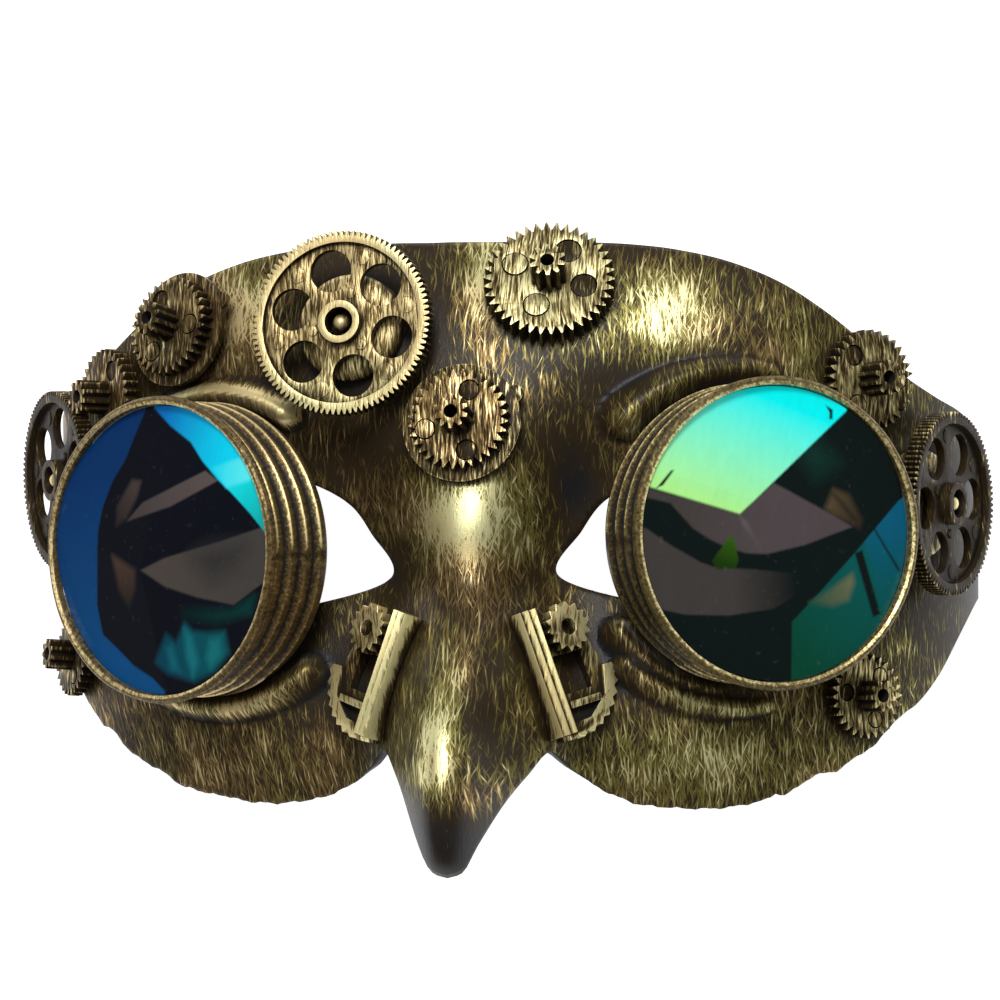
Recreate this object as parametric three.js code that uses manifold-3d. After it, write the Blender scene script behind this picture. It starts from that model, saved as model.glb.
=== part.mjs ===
// Half-face bird mask with ribbed goggles, faceted mirror lenses and glued-on clockwork.
// Millimetres: +X is the viewer's right, +Y the forehead and +Z out of the face, so the mask
// lies face up on the back edges of its two temples.
import * as THREE from "three";
import { mergeVertices } from "three/addons/utils/BufferGeometryUtils.js";
import Module from "manifold-3d";

const wasm = await Module();
wasm.setup();

const WALL = 2; // moulded wall
const GAP = 0.3; // glue line under every piece that sits on another
const HALF_WIDTH = 84.5; // middle of the face to a temple
const WRAP_POWER = 2.7; // how square the face is on its way round to the temples
const RIDGE_POWER = 2.3; // how flat the nose and the beak are on top
const ROWS = 11; // cells of the face from its lower edge to its upper edge
const UNDER = -40; // bottom of the block that trims pieces to the face
const TRIM_MARGIN = 6; // how far that block reaches past the mask's edges

// Heights of the face: mid is the ridge of nose and beak, side is the face beside it and
// ridge is the half width of the nose.
const PROFILE = [
  { y: -58, mid: 82, side: 50, ridge: 11 },
  { y: -53, mid: 89, side: 52, ridge: 10.5 },
  { y: -46, mid: 91.5, side: 54, ridge: 11.2 },
  { y: -38, mid: 91, side: 56.5, ridge: 11.6 },
  { y: -30, mid: 87, side: 57, ridge: 11.6 },
  { y: -22, mid: 78.5, side: 56, ridge: 11.2 },
  { y: -14, mid: 68.5, side: 53.5, ridge: 10.8 },
  { y: -7, mid: 63, side: 51, ridge: 10.5 },
  { y: 3, mid: 62.5, side: 50, ridge: 11.5 },
  { y: 12, mid: 60.5, side: 50.5, ridge: 14 },
  { y: 24, mid: 57, side: 51.5, ridge: 20 },
  { y: 36, mid: 53, side: 50, ridge: 28 },
  { y: 44, mid: 49, side: 46.5, ridge: 34 },
  { y: 52, mid: 43.5, side: 41.5, ridge: 40 },
];

// The moulding is a little askew: its edges drop by this share of the way to the right.
const ASKEW = 0.0155;

// Upper and lower edge of the mask by distance from its middle, one row a column of cells.
const OUTLINE = [
  { x: 0, top: 51.5, bottom: -55.8 },
  { x: 2.8, top: 51.5, bottom: -54.6 },
  { x: 5, top: 51.5, bottom: -50.4 },
  { x: 8.5, top: 51.4, bottom: -43.8 },
  { x: 11.5, top: 51.4, bottom: -39.4 },
  { x: 14.3, top: 51.4, bottom: -36 },
  { x: 17.5, top: 51.3, bottom: -39.4 },
  { x: 21.5, top: 51.3, bottom: -42.6 },
  { x: 27, top: 51, bottom: -45 },
  { x: 34, top: 50.2, bottom: -46 },
  { x: 43, top: 48.2, bottom: -45.9 },
  { x: 52, top: 44.6, bottom: -43.8 },
  { x: 60, top: 39.4, bottom: -40.2 },
  { x: 67, top: 33.6, bottom: -35.6 },
  { x: 73, top: 28.6, bottom: -30.4 },
  { x: 78, top: 25.2, bottom: -24 },
  { x: 82, top: 22.8, bottom: -16 },
  { x: 84.5, top: 20, bottom: -10.6 },
];

// Edge of the right eye hole, from its corner beside the nose round over the top.
const EYE_HOLE = [
  { x: 14.6, y: -6.7 },
  { x: 18.4, y: 1 },
  { x: 23, y: 6.6 },
  { x: 32, y: 10.6 },
  { x: 44, y: 12 },
  { x: 55, y: 8 },
  { x: 59, y: -1 },
  { x: 54, y: -10 },
  { x: 43, y: -12.5 },
  { x: 30, y: -11.5 },
];

const EYE_STEPS = 25;

const GOGGLE = {
  x: 53,
  z: 63,
  splay: THREE.MathUtils.degToRad(30.3),
  depth: 15.7,
  outer: 25.6,
  groove: 24.5,
  inner: 23,
  ribs: 4,
  pitch: 3.1,
  bezelOuter: 26.4,
  bezelInner: 25,
  bezelTop: 16.6,
  segments: 22,
};

const LENS = {
  radius: 24.7,
  table: 17,
  rim: 15.2,
  tableRadius: 4.6,
  tilt: 6.5,
  facets: 3,
  start: 103,
  sides: 24,
};

// Rolls of moulding laid on the face round the foot of each goggle: angles in degrees from the
// temple side, half width and height at the thin start and at the blunt end.
const ROLLS = [
  { sign: 1, from: 80, to: 132, radius: 29.5, thin: 1.6, wide: 3.4, low: 1.2, high: 4.6 },
  { sign: 1, from: -80, to: -131, radius: 30, thin: 1.6, wide: 2.8, low: 1.4, high: 3.6 },
  { sign: 1, from: -104, to: -141, radius: 27, thin: 1.4, wide: 2.8, low: 1, high: 4.2 },
  { sign: -1, from: 72, to: 114, radius: 29.5, thin: 1.6, wide: 3, low: 1.2, high: 4.6 },
  { sign: -1, from: -70, to: -127, radius: 29, thin: 1.6, wide: 3.2, low: 1.4, high: 4 },
];
const ROLL_CENTRE = 46;
const ROLL_STEPS = 5;
const ROLL_SIDES = 5;

const WHEEL = {
  teeth: 48,
  tip: 16,
  root: 15,
  rim: 14,
  height: 3,
  webFoot: 0.4,
  web: 1.9,
  holes: 6,
  holeRadius: 3.7,
  holeRing: 9.3,
  hub: 3.7,
  bore: 2.6,
  hubFoot: -0.5,
  hubTop: 3.8,
};
const BOSS = { radius: 9.4, foot: -9, dome: 3, pin: 1.1, pinTop: 6.2, segments: 10 };

// Gears by size: radii at the teeth's tips and roots, and the tall pinion moulded on top.
const COG_KINDS = {
  top: { teeth: 38, tip: 11.3, root: 10, height: 3.6, leaves: 9, leafTip: 2.9, leafRoot: 2.1, tall: 5.8 },
  small: { teeth: 30, tip: 8.7, root: 7.6, height: 2.4, leaves: 9, leafTip: 2.9, leafRoot: 2.1, tall: 5.4 },
  cheek: { teeth: 24, tip: 7.3, root: 6.3, height: 2.2, leaves: 9, leafTip: 2.6, leafRoot: 1.9, tall: 4.6 },
};
const PINION_BORE = 1.1;
const POST_FOOT = -8;
const PLATE = { radius: 10.3, height: 1.2, lug: 1.5, post: 4 };

// Wheels and gears by name: where each sits on the face and how far its axis turns toward
// +X and rises toward +Y from the face's own normal there, in degrees.
const WHEELS = [
  { name: "brow", x: -20.8, y: 36.2, turn: 2, rise: -9, spin: 16 },
  { name: "left_temple", x: -73.9, y: 11.4, turn: -6, rise: 0, spin: 8 },
  { name: "right_temple", x: 73.7, y: 5.2, turn: 18, rise: 0, spin: 22 },
];
const COGS = [
  { name: "top", kind: "top", x: 13.2, y: 42.6, turn: 0, rise: 0, spin: 3 },
  { name: "centre", kind: "small", x: -0.6, y: 19.2, turn: -4, rise: -4, spin: 2, plate: 29 },
  { name: "left_brow", kind: "small", x: -52.5, y: 36.8, turn: -8, rise: 0, spin: 4, plate: 29 },
  { name: "left_temple", kind: "small", x: -66.5, y: 25.6, turn: -8, rise: 0, spin: 1 },
  { name: "left_cheek", kind: "cheek", x: -75, y: -20.5, turn: 0, rise: 0, spin: 5 },
  { name: "right_brow", kind: "small", x: 66, y: 26.6, turn: 0, rise: 0, spin: 2 },
  { name: "right_cheek", kind: "cheek", x: 65, y: -28, turn: 0, rise: 0, spin: 6 },
];

// The bracket beside the beak in its own plane: u runs away from the beak, v along the bar and
// n out of the plane. The bar's section, the plate's outline and its window are [u, n] or [u, v].
const BRACKET = {
  x: 16.5,
  y: -22.2,
  turn: THREE.MathUtils.degToRad(38),
  rise: THREE.MathUtils.degToRad(13),
  lean: THREE.MathUtils.degToRad(14),
  lift: 2,
  foot: -9,
  plateTop: 0.8,
  rimTop: 2.2,
  half: 11,
  bar: [[-3.4, 2.6], [-4, 3.4], [-4.8, 2.5], [-5.6, 3.6], [-6.4, 2.5], [-7, 3.4], [-7.4, 2.6]],
  plate: [[-4, 9], [4.6, 8.4], [6.6, 0], [6, -5], [3, -9.4], [-4, -11]],
  window: [[-2.4, -4.4], [3.4, -4.4], [3.4, 2.4], [-2.4, 2.4]],
  shelf: { u: 0.5, half: 3.2, low: -7, high: -5.8 },
};
// Knurled rim along the bracket's lower edge, an arc in degrees about u, v.
const KNURL = { u: -2.6, v: -1, inner: 8.8, outer: 10.4, tooth: 0.7, from: -104, to: -3, steps: 18 };
const NOSE_COG = { u: 1.2, v: 6.4, teeth: 14, tip: 4.4, root: 3.4, bore: 1.5, from: 1.1, height: 2.4 };

const FINISHES = {
  shell: new THREE.MeshStandardMaterial({ color: 0x5c4a24, roughness: 0.45, metalness: 0.5 }),
  goggle: new THREE.MeshStandardMaterial({ color: 0x6e5a2c, roughness: 0.4, metalness: 0.6 }),
  gear: new THREE.MeshStandardMaterial({ color: 0xb59a52, roughness: 0.35, metalness: 0.8 }),
  lens: new THREE.MeshStandardMaterial({ color: 0x1f7f8c, roughness: 0.05, metalness: 1 }),
};

const mask = new THREE.Group();
mask.name = "bird_mask";

function place(name, geometry, finish) {
  const mesh = new THREE.Mesh(geometry, FINISHES[finish]);
  mesh.name = name;
  mask.add(mesh);
}

function solid(geometry) {
  const bare = geometry.clone();
  bare.deleteAttribute("normal");
  bare.deleteAttribute("uv");
  const merged = mergeVertices(bare, 1e-4);
  const triVerts = new Uint32Array(merged.index.array);
  return new wasm.Manifold(
    new wasm.Mesh({ numProp: 3, vertProperties: merged.attributes.position.array, triVerts }),
  );
}

function geometryOf(body) {
  const mesh = body.getMesh();
  const geometry = new THREE.BufferGeometry();
  geometry.setAttribute("position", new THREE.BufferAttribute(mesh.vertProperties, 3));
  geometry.setIndex(new THREE.BufferAttribute(mesh.triVerts, 1));
  geometry.computeVertexNormals();
  return geometry;
}

// Smooth value of a table's column, its rows in rising order of key.
function read(table, key, column, value) {
  const last = table.length - 1;
  const held = THREE.MathUtils.clamp(value, table[0][key], table[last][key]);
  const i = Math.min(table.findIndex((row) => row[key] > held) - 1, last - 1);
  const k = i < 0 ? last - 1 : i;
  const slope = (n) => {
    const before = table[Math.max(n - 1, 0)];
    const after = table[Math.min(n + 1, last)];
    return (after[column] - before[column]) / (after[key] - before[key]);
  };
  const step = table[k + 1][key] - table[k][key];
  const t = (held - table[k][key]) / step;
  const ease = t * t * (3 - 2 * t);
  const lead = t * (1 - t) * (1 - t) * step * slope(k);
  const trail = t * t * (t - 1) * step * slope(k + 1);
  return table[k][column] * (1 - ease) + table[k + 1][column] * ease + lead + trail;
}

function ridgeHeight(x, y) {
  const rise = read(PROFILE, "y", "mid", y) - read(PROFILE, "y", "side", y);
  const reach = Math.abs(x) / read(PROFILE, "y", "ridge", y);
  return rise * Math.exp(-Math.pow(reach, RIDGE_POWER));
}

function faceHeight(x, y) {
  const round = 1 - Math.pow(Math.min(Math.abs(x) / HALF_WIDTH, 1), WRAP_POWER);
  return read(PROFILE, "y", "side", y) * Math.sqrt(round) + ridgeHeight(x, y);
}

// Outward normal of the face, from the slope of a level function that is zero on it.
function faceNormal(x, y) {
  const level = (px, py, pz) => {
    const part = (pz - ridgeHeight(px, py)) / read(PROFILE, "y", "side", py);
    return part * part + Math.pow(Math.abs(px) / HALF_WIDTH, WRAP_POWER);
  };
  const z = faceHeight(x, y);
  const h = 0.05;
  return new THREE.Vector3(
    level(x + h, y, z) - level(x - h, y, z),
    level(x, y + h, z) - level(x, y - h, z),
    level(x, y, z + h) - level(x, y, z - h),
  ).normalize();
}

// Grid of points at a distance from the face, column by column from one temple to the other,
// with a margin past the upper and lower edges.
function faceGrid(offset, margin) {
  const half = OUTLINE.slice(1).map((row) => ({ ...row, x: -row.x }));
  const columns = [...half.reverse(), ...OUTLINE];
  const pointAt = (x, y) => {
    const normal = faceNormal(x, y);
    if (Math.abs(x) === HALF_WIDTH) normal.set(Math.sign(x), 0, 0);
    return new THREE.Vector3(x, y, faceHeight(x, y)).addScaledVector(normal, offset);
  };
  return columns.map(({ x, top, bottom }) => {
    const low = bottom - ASKEW * x;
    const high = top - ASKEW * x;
    const heights = Array.from({ length: ROWS + 1 }, (_, j) => THREE.MathUtils.lerp(low, high, j / ROWS));
    if (margin > 0) heights.splice(0, ROWS + 1, low - margin, ...heights, high + margin);
    return heights.map((y) => pointAt(x, y));
  });
}

// Closed body between two grids of the same size, the first above the second.
function slab(upper, lower) {
  const wide = upper.length;
  const tall = upper[0].length;
  const points = [...upper.flat(), ...lower.flat()];
  const index = [];
  const quad = (a, b, c, d) => index.push(a, b, c, a, c, d);
  const over = (i, j) => i * tall + j;
  const below = (i, j) => wide * tall + i * tall + j;
  for (let i = 0; i + 1 < wide; i += 1) {
    for (let j = 0; j + 1 < tall; j += 1) {
      quad(over(i, j), over(i + 1, j), over(i + 1, j + 1), over(i, j + 1));
      quad(below(i, j), below(i, j + 1), below(i + 1, j + 1), below(i + 1, j));
    }
    quad(over(i, 0), below(i, 0), below(i + 1, 0), over(i + 1, 0));
    quad(over(i + 1, tall - 1), below(i + 1, tall - 1), below(i, tall - 1), over(i, tall - 1));
  }
  for (let j = 0; j + 1 < tall; j += 1) {
    quad(over(wide - 1, j), below(wide - 1, j), below(wide - 1, j + 1), over(wide - 1, j + 1));
    quad(over(0, j + 1), below(0, j + 1), below(0, j), over(0, j));
  }
  const geometry = new THREE.BufferGeometry().setFromPoints(points);
  geometry.setIndex(index);
  return solid(geometry);
}

// Closed body through rings of the same count, a fan at each end.
function loft(rings) {
  const sides = rings[0].length;
  const middle = (ring) => ring.reduce((sum, p) => sum.add(p), new THREE.Vector3()).divideScalar(sides);
  const points = [...rings.flat(), middle(rings[0]), middle(rings[rings.length - 1])];
  const index = [];
  const first = rings.length * sides;
  for (let s = 0; s < sides; s += 1) {
    const next = (s + 1) % sides;
    for (let r = 0; r + 1 < rings.length; r += 1) {
      const a = r * sides;
      const b = a + sides;
      index.push(a + s, a + next, b + next, a + s, b + next, b + s);
    }
    const end = (rings.length - 1) * sides;
    index.push(first, next, s, first + 1, end + s, end + next);
  }
  const geometry = new THREE.BufferGeometry().setFromPoints(points);
  geometry.setIndex(index);
  return solid(geometry);
}

// A closed profile of [radius, height] pairs turned about the +Z axis.
function turned(profile, segments) {
  const points = [...profile, profile[0]].map(([r, h]) => new THREE.Vector2(r, h));
  return new THREE.LatheGeometry(points, segments).rotateX(Math.PI / 2);
}

function extruded(shape, from, to, curveSegments = 6) {
  const settings = { depth: to - from, bevelEnabled: false, curveSegments };
  return new THREE.ExtrudeGeometry(shape, settings).translate(0, 0, from);
}

function toothed(teeth, tip, root) {
  const corner = (k) => {
    const radius = k % 2 ? root : tip;
    const angle = (Math.PI * k) / teeth;
    return new THREE.Vector2(radius * Math.cos(angle), radius * Math.sin(angle));
  };
  return new THREE.Shape(Array.from({ length: 2 * teeth }, (_, k) => corner(k)));
}

function circle(radius, x = 0, y = 0) {
  return new THREE.Path().absarc(x, y, radius, 0, 2 * Math.PI);
}

function disc(radius, x = 0, y = 0) {
  const shape = new THREE.Shape();
  shape.absarc(x, y, radius, 0, 2 * Math.PI);
  return shape;
}

function box(u0, u1, v0, v1, n0, n1) {
  const size = new THREE.BoxGeometry(u1 - u0, v1 - v0, n1 - n0);
  return size.translate((u0 + u1) / 2, (v0 + v1) / 2, (n0 + n1) / 2);
}

function joined(geometries) {
  return geometries.map(solid).reduce((sum, body) => sum.add(body));
}

// Frame on the face at x, y whose +Z is the face's normal turned and raised, high enough for a
// disc of the given radius to clear the face.
function seat({ x, y, turn, rise, spin }, radius, lift) {
  const normal = faceNormal(x, y);
  const azimuth = Math.atan2(normal.x, normal.z) + THREE.MathUtils.degToRad(turn);
  const elevation = Math.asin(normal.y) + THREE.MathUtils.degToRad(rise);
  const turnTo = new THREE.Euler(-elevation, azimuth, 0, "YXZ");
  const frame = new THREE.Matrix4().makeRotationFromEuler(turnTo);
  const foot = new THREE.Vector3(x, y, faceHeight(x, y));
  const axis = new THREE.Vector3().setFromMatrixColumn(frame, 2);
  let clear = 0;
  for (let k = 0; k < 24; k += 1) {
    const angle = (k * Math.PI) / 12;
    const edge = new THREE.Vector3(radius * Math.cos(angle), radius * Math.sin(angle), 0);
    const point = edge.applyMatrix4(frame).add(foot);
    if (Math.abs(point.x) < HALF_WIDTH) {
      clear = Math.max(clear, (faceHeight(point.x, point.y) - point.z) * axis.z);
    }
  }
  frame.multiply(new THREE.Matrix4().makeRotationZ(THREE.MathUtils.degToRad(spin)));
  return frame.setPosition(foot.addScaledVector(axis, clear + lift));
}

const trimTop = faceGrid(GAP, TRIM_MARGIN);
const trimFoot = trimTop.map((column) => column.map((p) => new THREE.Vector3(p.x, p.y, UNDER)));
const faceBlock = slab(trimTop, trimFoot);

function seated(body) {
  return geometryOf(body.subtract(faceBlock));
}

// The two halves of the mask, with the height of each goggle's axis.
const SIDES = [
  { side: "left", sign: -1, eye: -1.5 },
  { side: "right", sign: 1, eye: 0.2 },
];

function goggleFrame({ sign, eye }) {
  const angle = sign * GOGGLE.splay;
  const lens = new THREE.Vector3(sign * GOGGLE.x, eye, GOGGLE.z);
  const axis = new THREE.Vector3(Math.sin(angle), 0, Math.cos(angle));
  const back = lens.addScaledVector(axis, -GOGGLE.depth);
  return new THREE.Matrix4().makeRotationY(angle).setPosition(back);
}

function roll(row) {
  const { sign } = row;
  const rings = Array.from({ length: ROLL_STEPS + 2 }, (_, k) => {
    const along = Math.min(k / ROLL_STEPS, 1);
    const nose = k > ROLL_STEPS ? 0.5 : 1;
    const past = k > ROLL_STEPS ? 4 * Math.sign(row.to - row.from) : 0;
    const angle = THREE.MathUtils.degToRad(THREE.MathUtils.lerp(row.from, row.to, along) + past);
    const wide = THREE.MathUtils.lerp(row.thin, row.wide, along) * nose;
    const high = THREE.MathUtils.lerp(row.low, row.high, along) * nose;
    const ring = Array.from({ length: ROLL_SIDES }, (_, s) => {
      const round = (Math.PI * s) / (ROLL_SIDES - 1);
      const radius = row.radius + wide * Math.cos(round);
      const x = sign * (ROLL_CENTRE + radius * Math.cos(angle));
      const y = radius * Math.sin(angle);
      const up = high * Math.sin(round) - WALL / 2;
      return new THREE.Vector3(x, y, faceHeight(x, y)).addScaledVector(faceNormal(x, y), up);
    });
    return ring;
  });
  const flip = sign * (row.to - row.from) > 0;
  return loft(flip ? rings.map((ring) => ring.reverse()) : rings);
}

function eyeHole(sign) {
  const edge = EYE_HOLE.map(({ x, y }) => new THREE.Vector2(sign * x, y));
  const curve = new THREE.SplineCurve([...edge, edge[0]]);
  return solid(extruded(new THREE.Shape(curve.getPoints(EYE_STEPS).slice(0, -1)), 0, 100));
}

function addShell() {
  let shell = slab(faceGrid(0, 0), faceGrid(-WALL, 0));
  for (const row of SIDES) {
    const { sign } = row;
    const around = new THREE.CylinderGeometry(GOGGLE.outer + 1, GOGGLE.outer + 1, 40, GOGGLE.segments);
    const clearance = around.rotateX(Math.PI / 2).translate(0, 0, 20 - GAP).applyMatrix4(goggleFrame(row));
    const room = solid(clearance);
    const rolls = ROLLS.filter((lobe) => lobe.sign === sign);
    for (const lobe of rolls) shell = shell.add(roll(lobe).subtract(room));
    shell = shell.subtract(eyeHole(sign));
  }
  place("mask_shell", geometryOf(shell), "shell");
}

function lensBody() {
  const { radius, table, rim, tableRadius, tilt, facets, start, sides } = LENS;
  const seatHeight = GOGGLE.ribs * GOGGLE.pitch + GAP;
  let body = solid(turned([[0, seatHeight], [radius, seatHeight], [radius, table], [0, table]], sides));
  for (let k = 0; k < 2 * facets; k += 1) {
    const strip = k % 2;
    const slope = Math.atan(Math.tan(THREE.MathUtils.degToRad(tilt)) * (strip ? 0.5 : 1));
    const from = strip ? tableRadius * 0.5 : tableRadius;
    const cutter = new THREE.BoxGeometry(90, 90, 20).translate(45, 0, 10).rotateY(slope);
    cutter.translate(from, 0, table).rotateZ(THREE.MathUtils.degToRad(start) + (k * Math.PI) / facets);
    body = body.subtract(solid(cutter));
  }
  const base = turned([[0, seatHeight], [radius, seatHeight], [radius, rim - 1], [0, rim - 1]], sides);
  return body.add(solid(base));
}

function addGoggles() {
  const { inner, outer, groove, ribs, pitch, bezelInner, bezelOuter, bezelTop, segments } = GOGGLE;
  const top = ribs * pitch;
  const ribbed = Array.from({ length: ribs }, (_, k) => [
    [groove, (k + 0.04) * pitch],
    [outer, (k + 0.5) * pitch],
  ]).flat();
  const barrel = turned([[inner, 0], ...ribbed, [groove, top], [inner, top]], segments);
  const foot = top + GAP;
  const bezel = turned(
    [
      [bezelInner, foot],
      [bezelOuter - 0.4, foot],
      [bezelOuter, foot + 0.8],
      [bezelOuter, bezelTop - 0.6],
      [bezelOuter - 0.7, bezelTop],
      [bezelInner, bezelTop - 0.2],
    ],
    segments,
  );
  for (const row of SIDES) {
    const { side } = row;
    const frame = goggleFrame(row);
    place(`${side}_goggle_barrel`, seated(solid(barrel.clone().applyMatrix4(frame))), "goggle");
    place(`${side}_goggle_bezel`, bezel.clone().applyMatrix4(frame), "goggle");
    place(`${side}_lens`, geometryOf(lensBody()).applyMatrix4(frame), "lens");
  }
}

function wheelGeometry() {
  const { teeth, tip, root, rim, height, webFoot, web } = WHEEL;
  const { holes, holeRadius, holeRing, hub, bore, hubFoot, hubTop } = WHEEL;
  const ring = toothed(teeth, tip, root);
  ring.holes.push(circle(rim));
  const plate = disc(rim + 0.2);
  for (let k = 0; k < holes; k += 1) {
    const angle = (2 * Math.PI * k) / holes;
    plate.holes.push(circle(holeRadius, holeRing * Math.cos(angle), holeRing * Math.sin(angle)));
  }
  plate.holes.push(circle(bore));
  const tube = disc(hub);
  tube.holes.push(circle(bore));
  const pieces = [extruded(ring, 0, height, 12), extruded(plate, webFoot, web, 4)];
  pieces.push(extruded(tube, hubFoot, hubTop, 4));
  return geometryOf(joined(pieces));
}

function bossGeometry(lift) {
  const { radius, foot, dome, pin, pinTop, segments } = BOSS;
  const arc = [0, 0.45, 0.8].map((t) => [radius * Math.cos(t), dome * Math.sin(t) - 0.2]);
  const profile = [[0, foot], [radius, foot], ...arc, [pin, dome - 0.2], [pin, pinTop - 0.6], [0, pinTop]];
  return turned(profile, segments).translate(0, 0, lift);
}

function addWheels() {
  for (const row of WHEELS) {
    const frame = seat(row, WHEEL.tip, BOSS.dome + GAP);
    place(`${row.name}_wheel`, wheelGeometry().applyMatrix4(frame), "gear");
    const boss = solid(bossGeometry(-BOSS.dome - GAP).applyMatrix4(frame));
    place(`${row.name}_boss`, seated(boss), "gear");
  }
}

function cogGeometry({ teeth, tip, root, height, leaves, leafTip, leafRoot, tall }, postFoot) {
  const small = toothed(leaves, leafTip, leafRoot);
  small.holes.push(circle(PINION_BORE));
  const post = disc(leafTip + 0.6);
  return joined([
    extruded(toothed(teeth, tip, root), 0, height),
    extruded(small, height - 0.2, height + tall, 3),
    extruded(post, postFoot, 0.2, 5),
  ]);
}

function plateGeometry(angle) {
  const turn = THREE.MathUtils.degToRad(angle);
  const { radius, height, lug, post } = PLATE;
  return joined([
    extruded(disc(radius), 0, height, 10),
    extruded(disc(lug, radius * Math.cos(turn), radius * Math.sin(turn)), 0, height, 4),
    extruded(disc(post), POST_FOOT, 0.2, 4),
  ]);
}

function addCogs() {
  for (const row of COGS) {
    const kind = COG_KINDS[row.kind];
    const plated = row.plate !== undefined;
    const reach = plated ? PLATE.radius : kind.tip;
    const frame = seat(row, reach, GAP);
    if (plated) {
      const body = solid(geometryOf(plateGeometry(row.plate)).applyMatrix4(frame));
      place(`${row.name}_plate`, seated(body), "shell");
      frame.multiply(new THREE.Matrix4().makeTranslation(0, 0, PLATE.height + GAP));
    }
    const cog = geometryOf(cogGeometry(kind, plated ? 0 : POST_FOOT)).applyMatrix4(frame);
    place(`${row.name}_gear`, seated(solid(cog)), "gear");
  }
}

function bracketFrame(sign) {
  const { turn, rise, lean, lift } = BRACKET;
  const tilt = new THREE.Euler(-rise, sign * turn, sign * lean, "YXZ");
  const frame = new THREE.Matrix4().makeRotationFromEuler(tilt);
  const x = sign * BRACKET.x;
  return frame.setPosition(x, BRACKET.y, faceHeight(x, BRACKET.y) + lift);
}

function bracketBody(sign) {
  const { foot, plateTop, rimTop, half, shelf } = BRACKET;
  const corner = ([u, v]) => new THREE.Vector2(sign * u, v);
  const flat = (points) => new THREE.Shape(points.map(corner));
  const section = [[BRACKET.bar.at(-1)[0], foot], [BRACKET.bar[0][0], foot], ...BRACKET.bar];
  const bar = extruded(flat(section), -half, half).rotateX(Math.PI / 2);
  const plate = flat(BRACKET.plate);
  plate.holes.push(new THREE.Path(BRACKET.window.map(corner)));
  const { u, v, inner, outer, tooth, from, to, steps } = KNURL;
  const arc = (radius, part) => {
    const angle = THREE.MathUtils.degToRad(THREE.MathUtils.lerp(from, to, part));
    return [u + radius * Math.cos(angle), v + radius * Math.sin(angle)];
  };
  const knurled = Array.from({ length: steps + 1 }, (_, k) => arc(outer + (k % 2) * tooth, k / steps));
  const inside = [1, 0.66, 0.33, 0].map((part) => arc(inner, part));
  const rim = extruded(flat([...knurled, ...inside]), foot, rimTop);
  const middle = sign * shelf.u;
  const ledge = box(middle - shelf.half, middle + shelf.half, shelf.low, shelf.high, foot, rimTop);
  return joined([bar, extruded(plate, foot, plateTop), rim, ledge]);
}

function addBrackets() {
  for (const { side, sign } of SIDES) {
    const frame = bracketFrame(sign);
    const body = solid(geometryOf(bracketBody(sign)).applyMatrix4(frame));
    place(`${side}_nose_bracket`, seated(body), "gear");
    const { u, v, teeth, tip, root, bore, from, height } = NOSE_COG;
    const outline = toothed(teeth, tip, root);
    outline.holes.push(circle(bore));
    const cog = extruded(outline, from, from + height, 4).translate(sign * u, v, 0);
    place(`${side}_nose_cog`, seated(solid(cog.applyMatrix4(frame))), "gear");
  }
}

addShell();
addGoggles();
addWheels();
addCogs();
addBrackets();

// The origin is the middle of the footprint, on the surface that the mask lies on.
const bounds = new THREE.Box3().setFromObject(mask);
const middle = bounds.getCenter(new THREE.Vector3());
for (const mesh of mask.children) mesh.geometry.translate(-middle.x, -middle.y, -bounds.min.z);

export default mask;
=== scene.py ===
"""Dresses a clockwork bird half-mask: dry-brushed gold over black plastic, with faceted mirror goggles."""

import logging
import math
from dataclasses import dataclass, field
from enum import Enum
from typing import Iterable, NamedTuple, Sequence

import bmesh
import bpy
import numpy as np
from bmesh.types import BMEdge, BMesh, BMFace, BMVert
from mathutils import Matrix, Vector


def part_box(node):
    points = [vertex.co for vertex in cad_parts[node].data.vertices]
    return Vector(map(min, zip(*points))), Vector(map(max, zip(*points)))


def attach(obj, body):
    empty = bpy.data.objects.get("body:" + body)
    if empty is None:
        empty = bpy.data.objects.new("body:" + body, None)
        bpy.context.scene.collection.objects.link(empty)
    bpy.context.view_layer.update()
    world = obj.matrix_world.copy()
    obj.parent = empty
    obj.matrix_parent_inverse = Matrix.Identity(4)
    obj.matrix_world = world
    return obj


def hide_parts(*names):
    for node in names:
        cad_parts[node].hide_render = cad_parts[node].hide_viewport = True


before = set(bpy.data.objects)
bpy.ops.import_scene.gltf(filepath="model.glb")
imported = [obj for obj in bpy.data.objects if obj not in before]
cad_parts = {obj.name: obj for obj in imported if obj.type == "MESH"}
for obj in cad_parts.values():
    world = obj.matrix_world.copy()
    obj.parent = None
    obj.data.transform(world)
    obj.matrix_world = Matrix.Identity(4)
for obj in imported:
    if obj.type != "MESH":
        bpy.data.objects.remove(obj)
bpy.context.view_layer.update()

LOG = logging.getLogger("bird_mask")
MM = 0.001
BODY = "root"
GILT_AND_PAINTED_LIGHT = "gilt_and_painted_light"  # how much gold a surface has taken, from 0 to 1, with painted highlights and painted shade on the face and the right barrel
WORN = "worn"  # how far a corner stands out, so that the brush met it
TONE = "tone"  # how much warmer a piece's gold is than its neighbours'
PAINTED_REFLECTION = "painted_reflection"  # painted reflections of the room on a lens's mirror coat
STROKES = "strokes"  # UV map in millimetres along and across the brush strokes
ALIKE = 0.9995  # cosine of the angle within which two faces look the same way
SAME_LEVEL = 0.05  # millimetres within which two faces lie at one height
WELD = 1e-4  # millimetres within which two corners are one
AXIS_GAP = 0.01  # millimetres that a turned profile keeps from its axis
NEVER_ZERO = 1e-12
FLANKS = (0.07, 0.93)  # where a tooth starts and ends, in shares of its pitch
FACING_POWER = 1.5  # how fast gold fades as a face turns from the brush
MIX_COLOURS = (6, 7)  # a Mix node's sockets for its two colours
MIX_RESULT = 2  # a Mix node's socket for the mixed colour

Colour = tuple[float, float, float]
Span = tuple[float, float]
Socket = bpy.types.NodeSocket
Value = float | Socket
Shade = Colour | Socket


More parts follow.
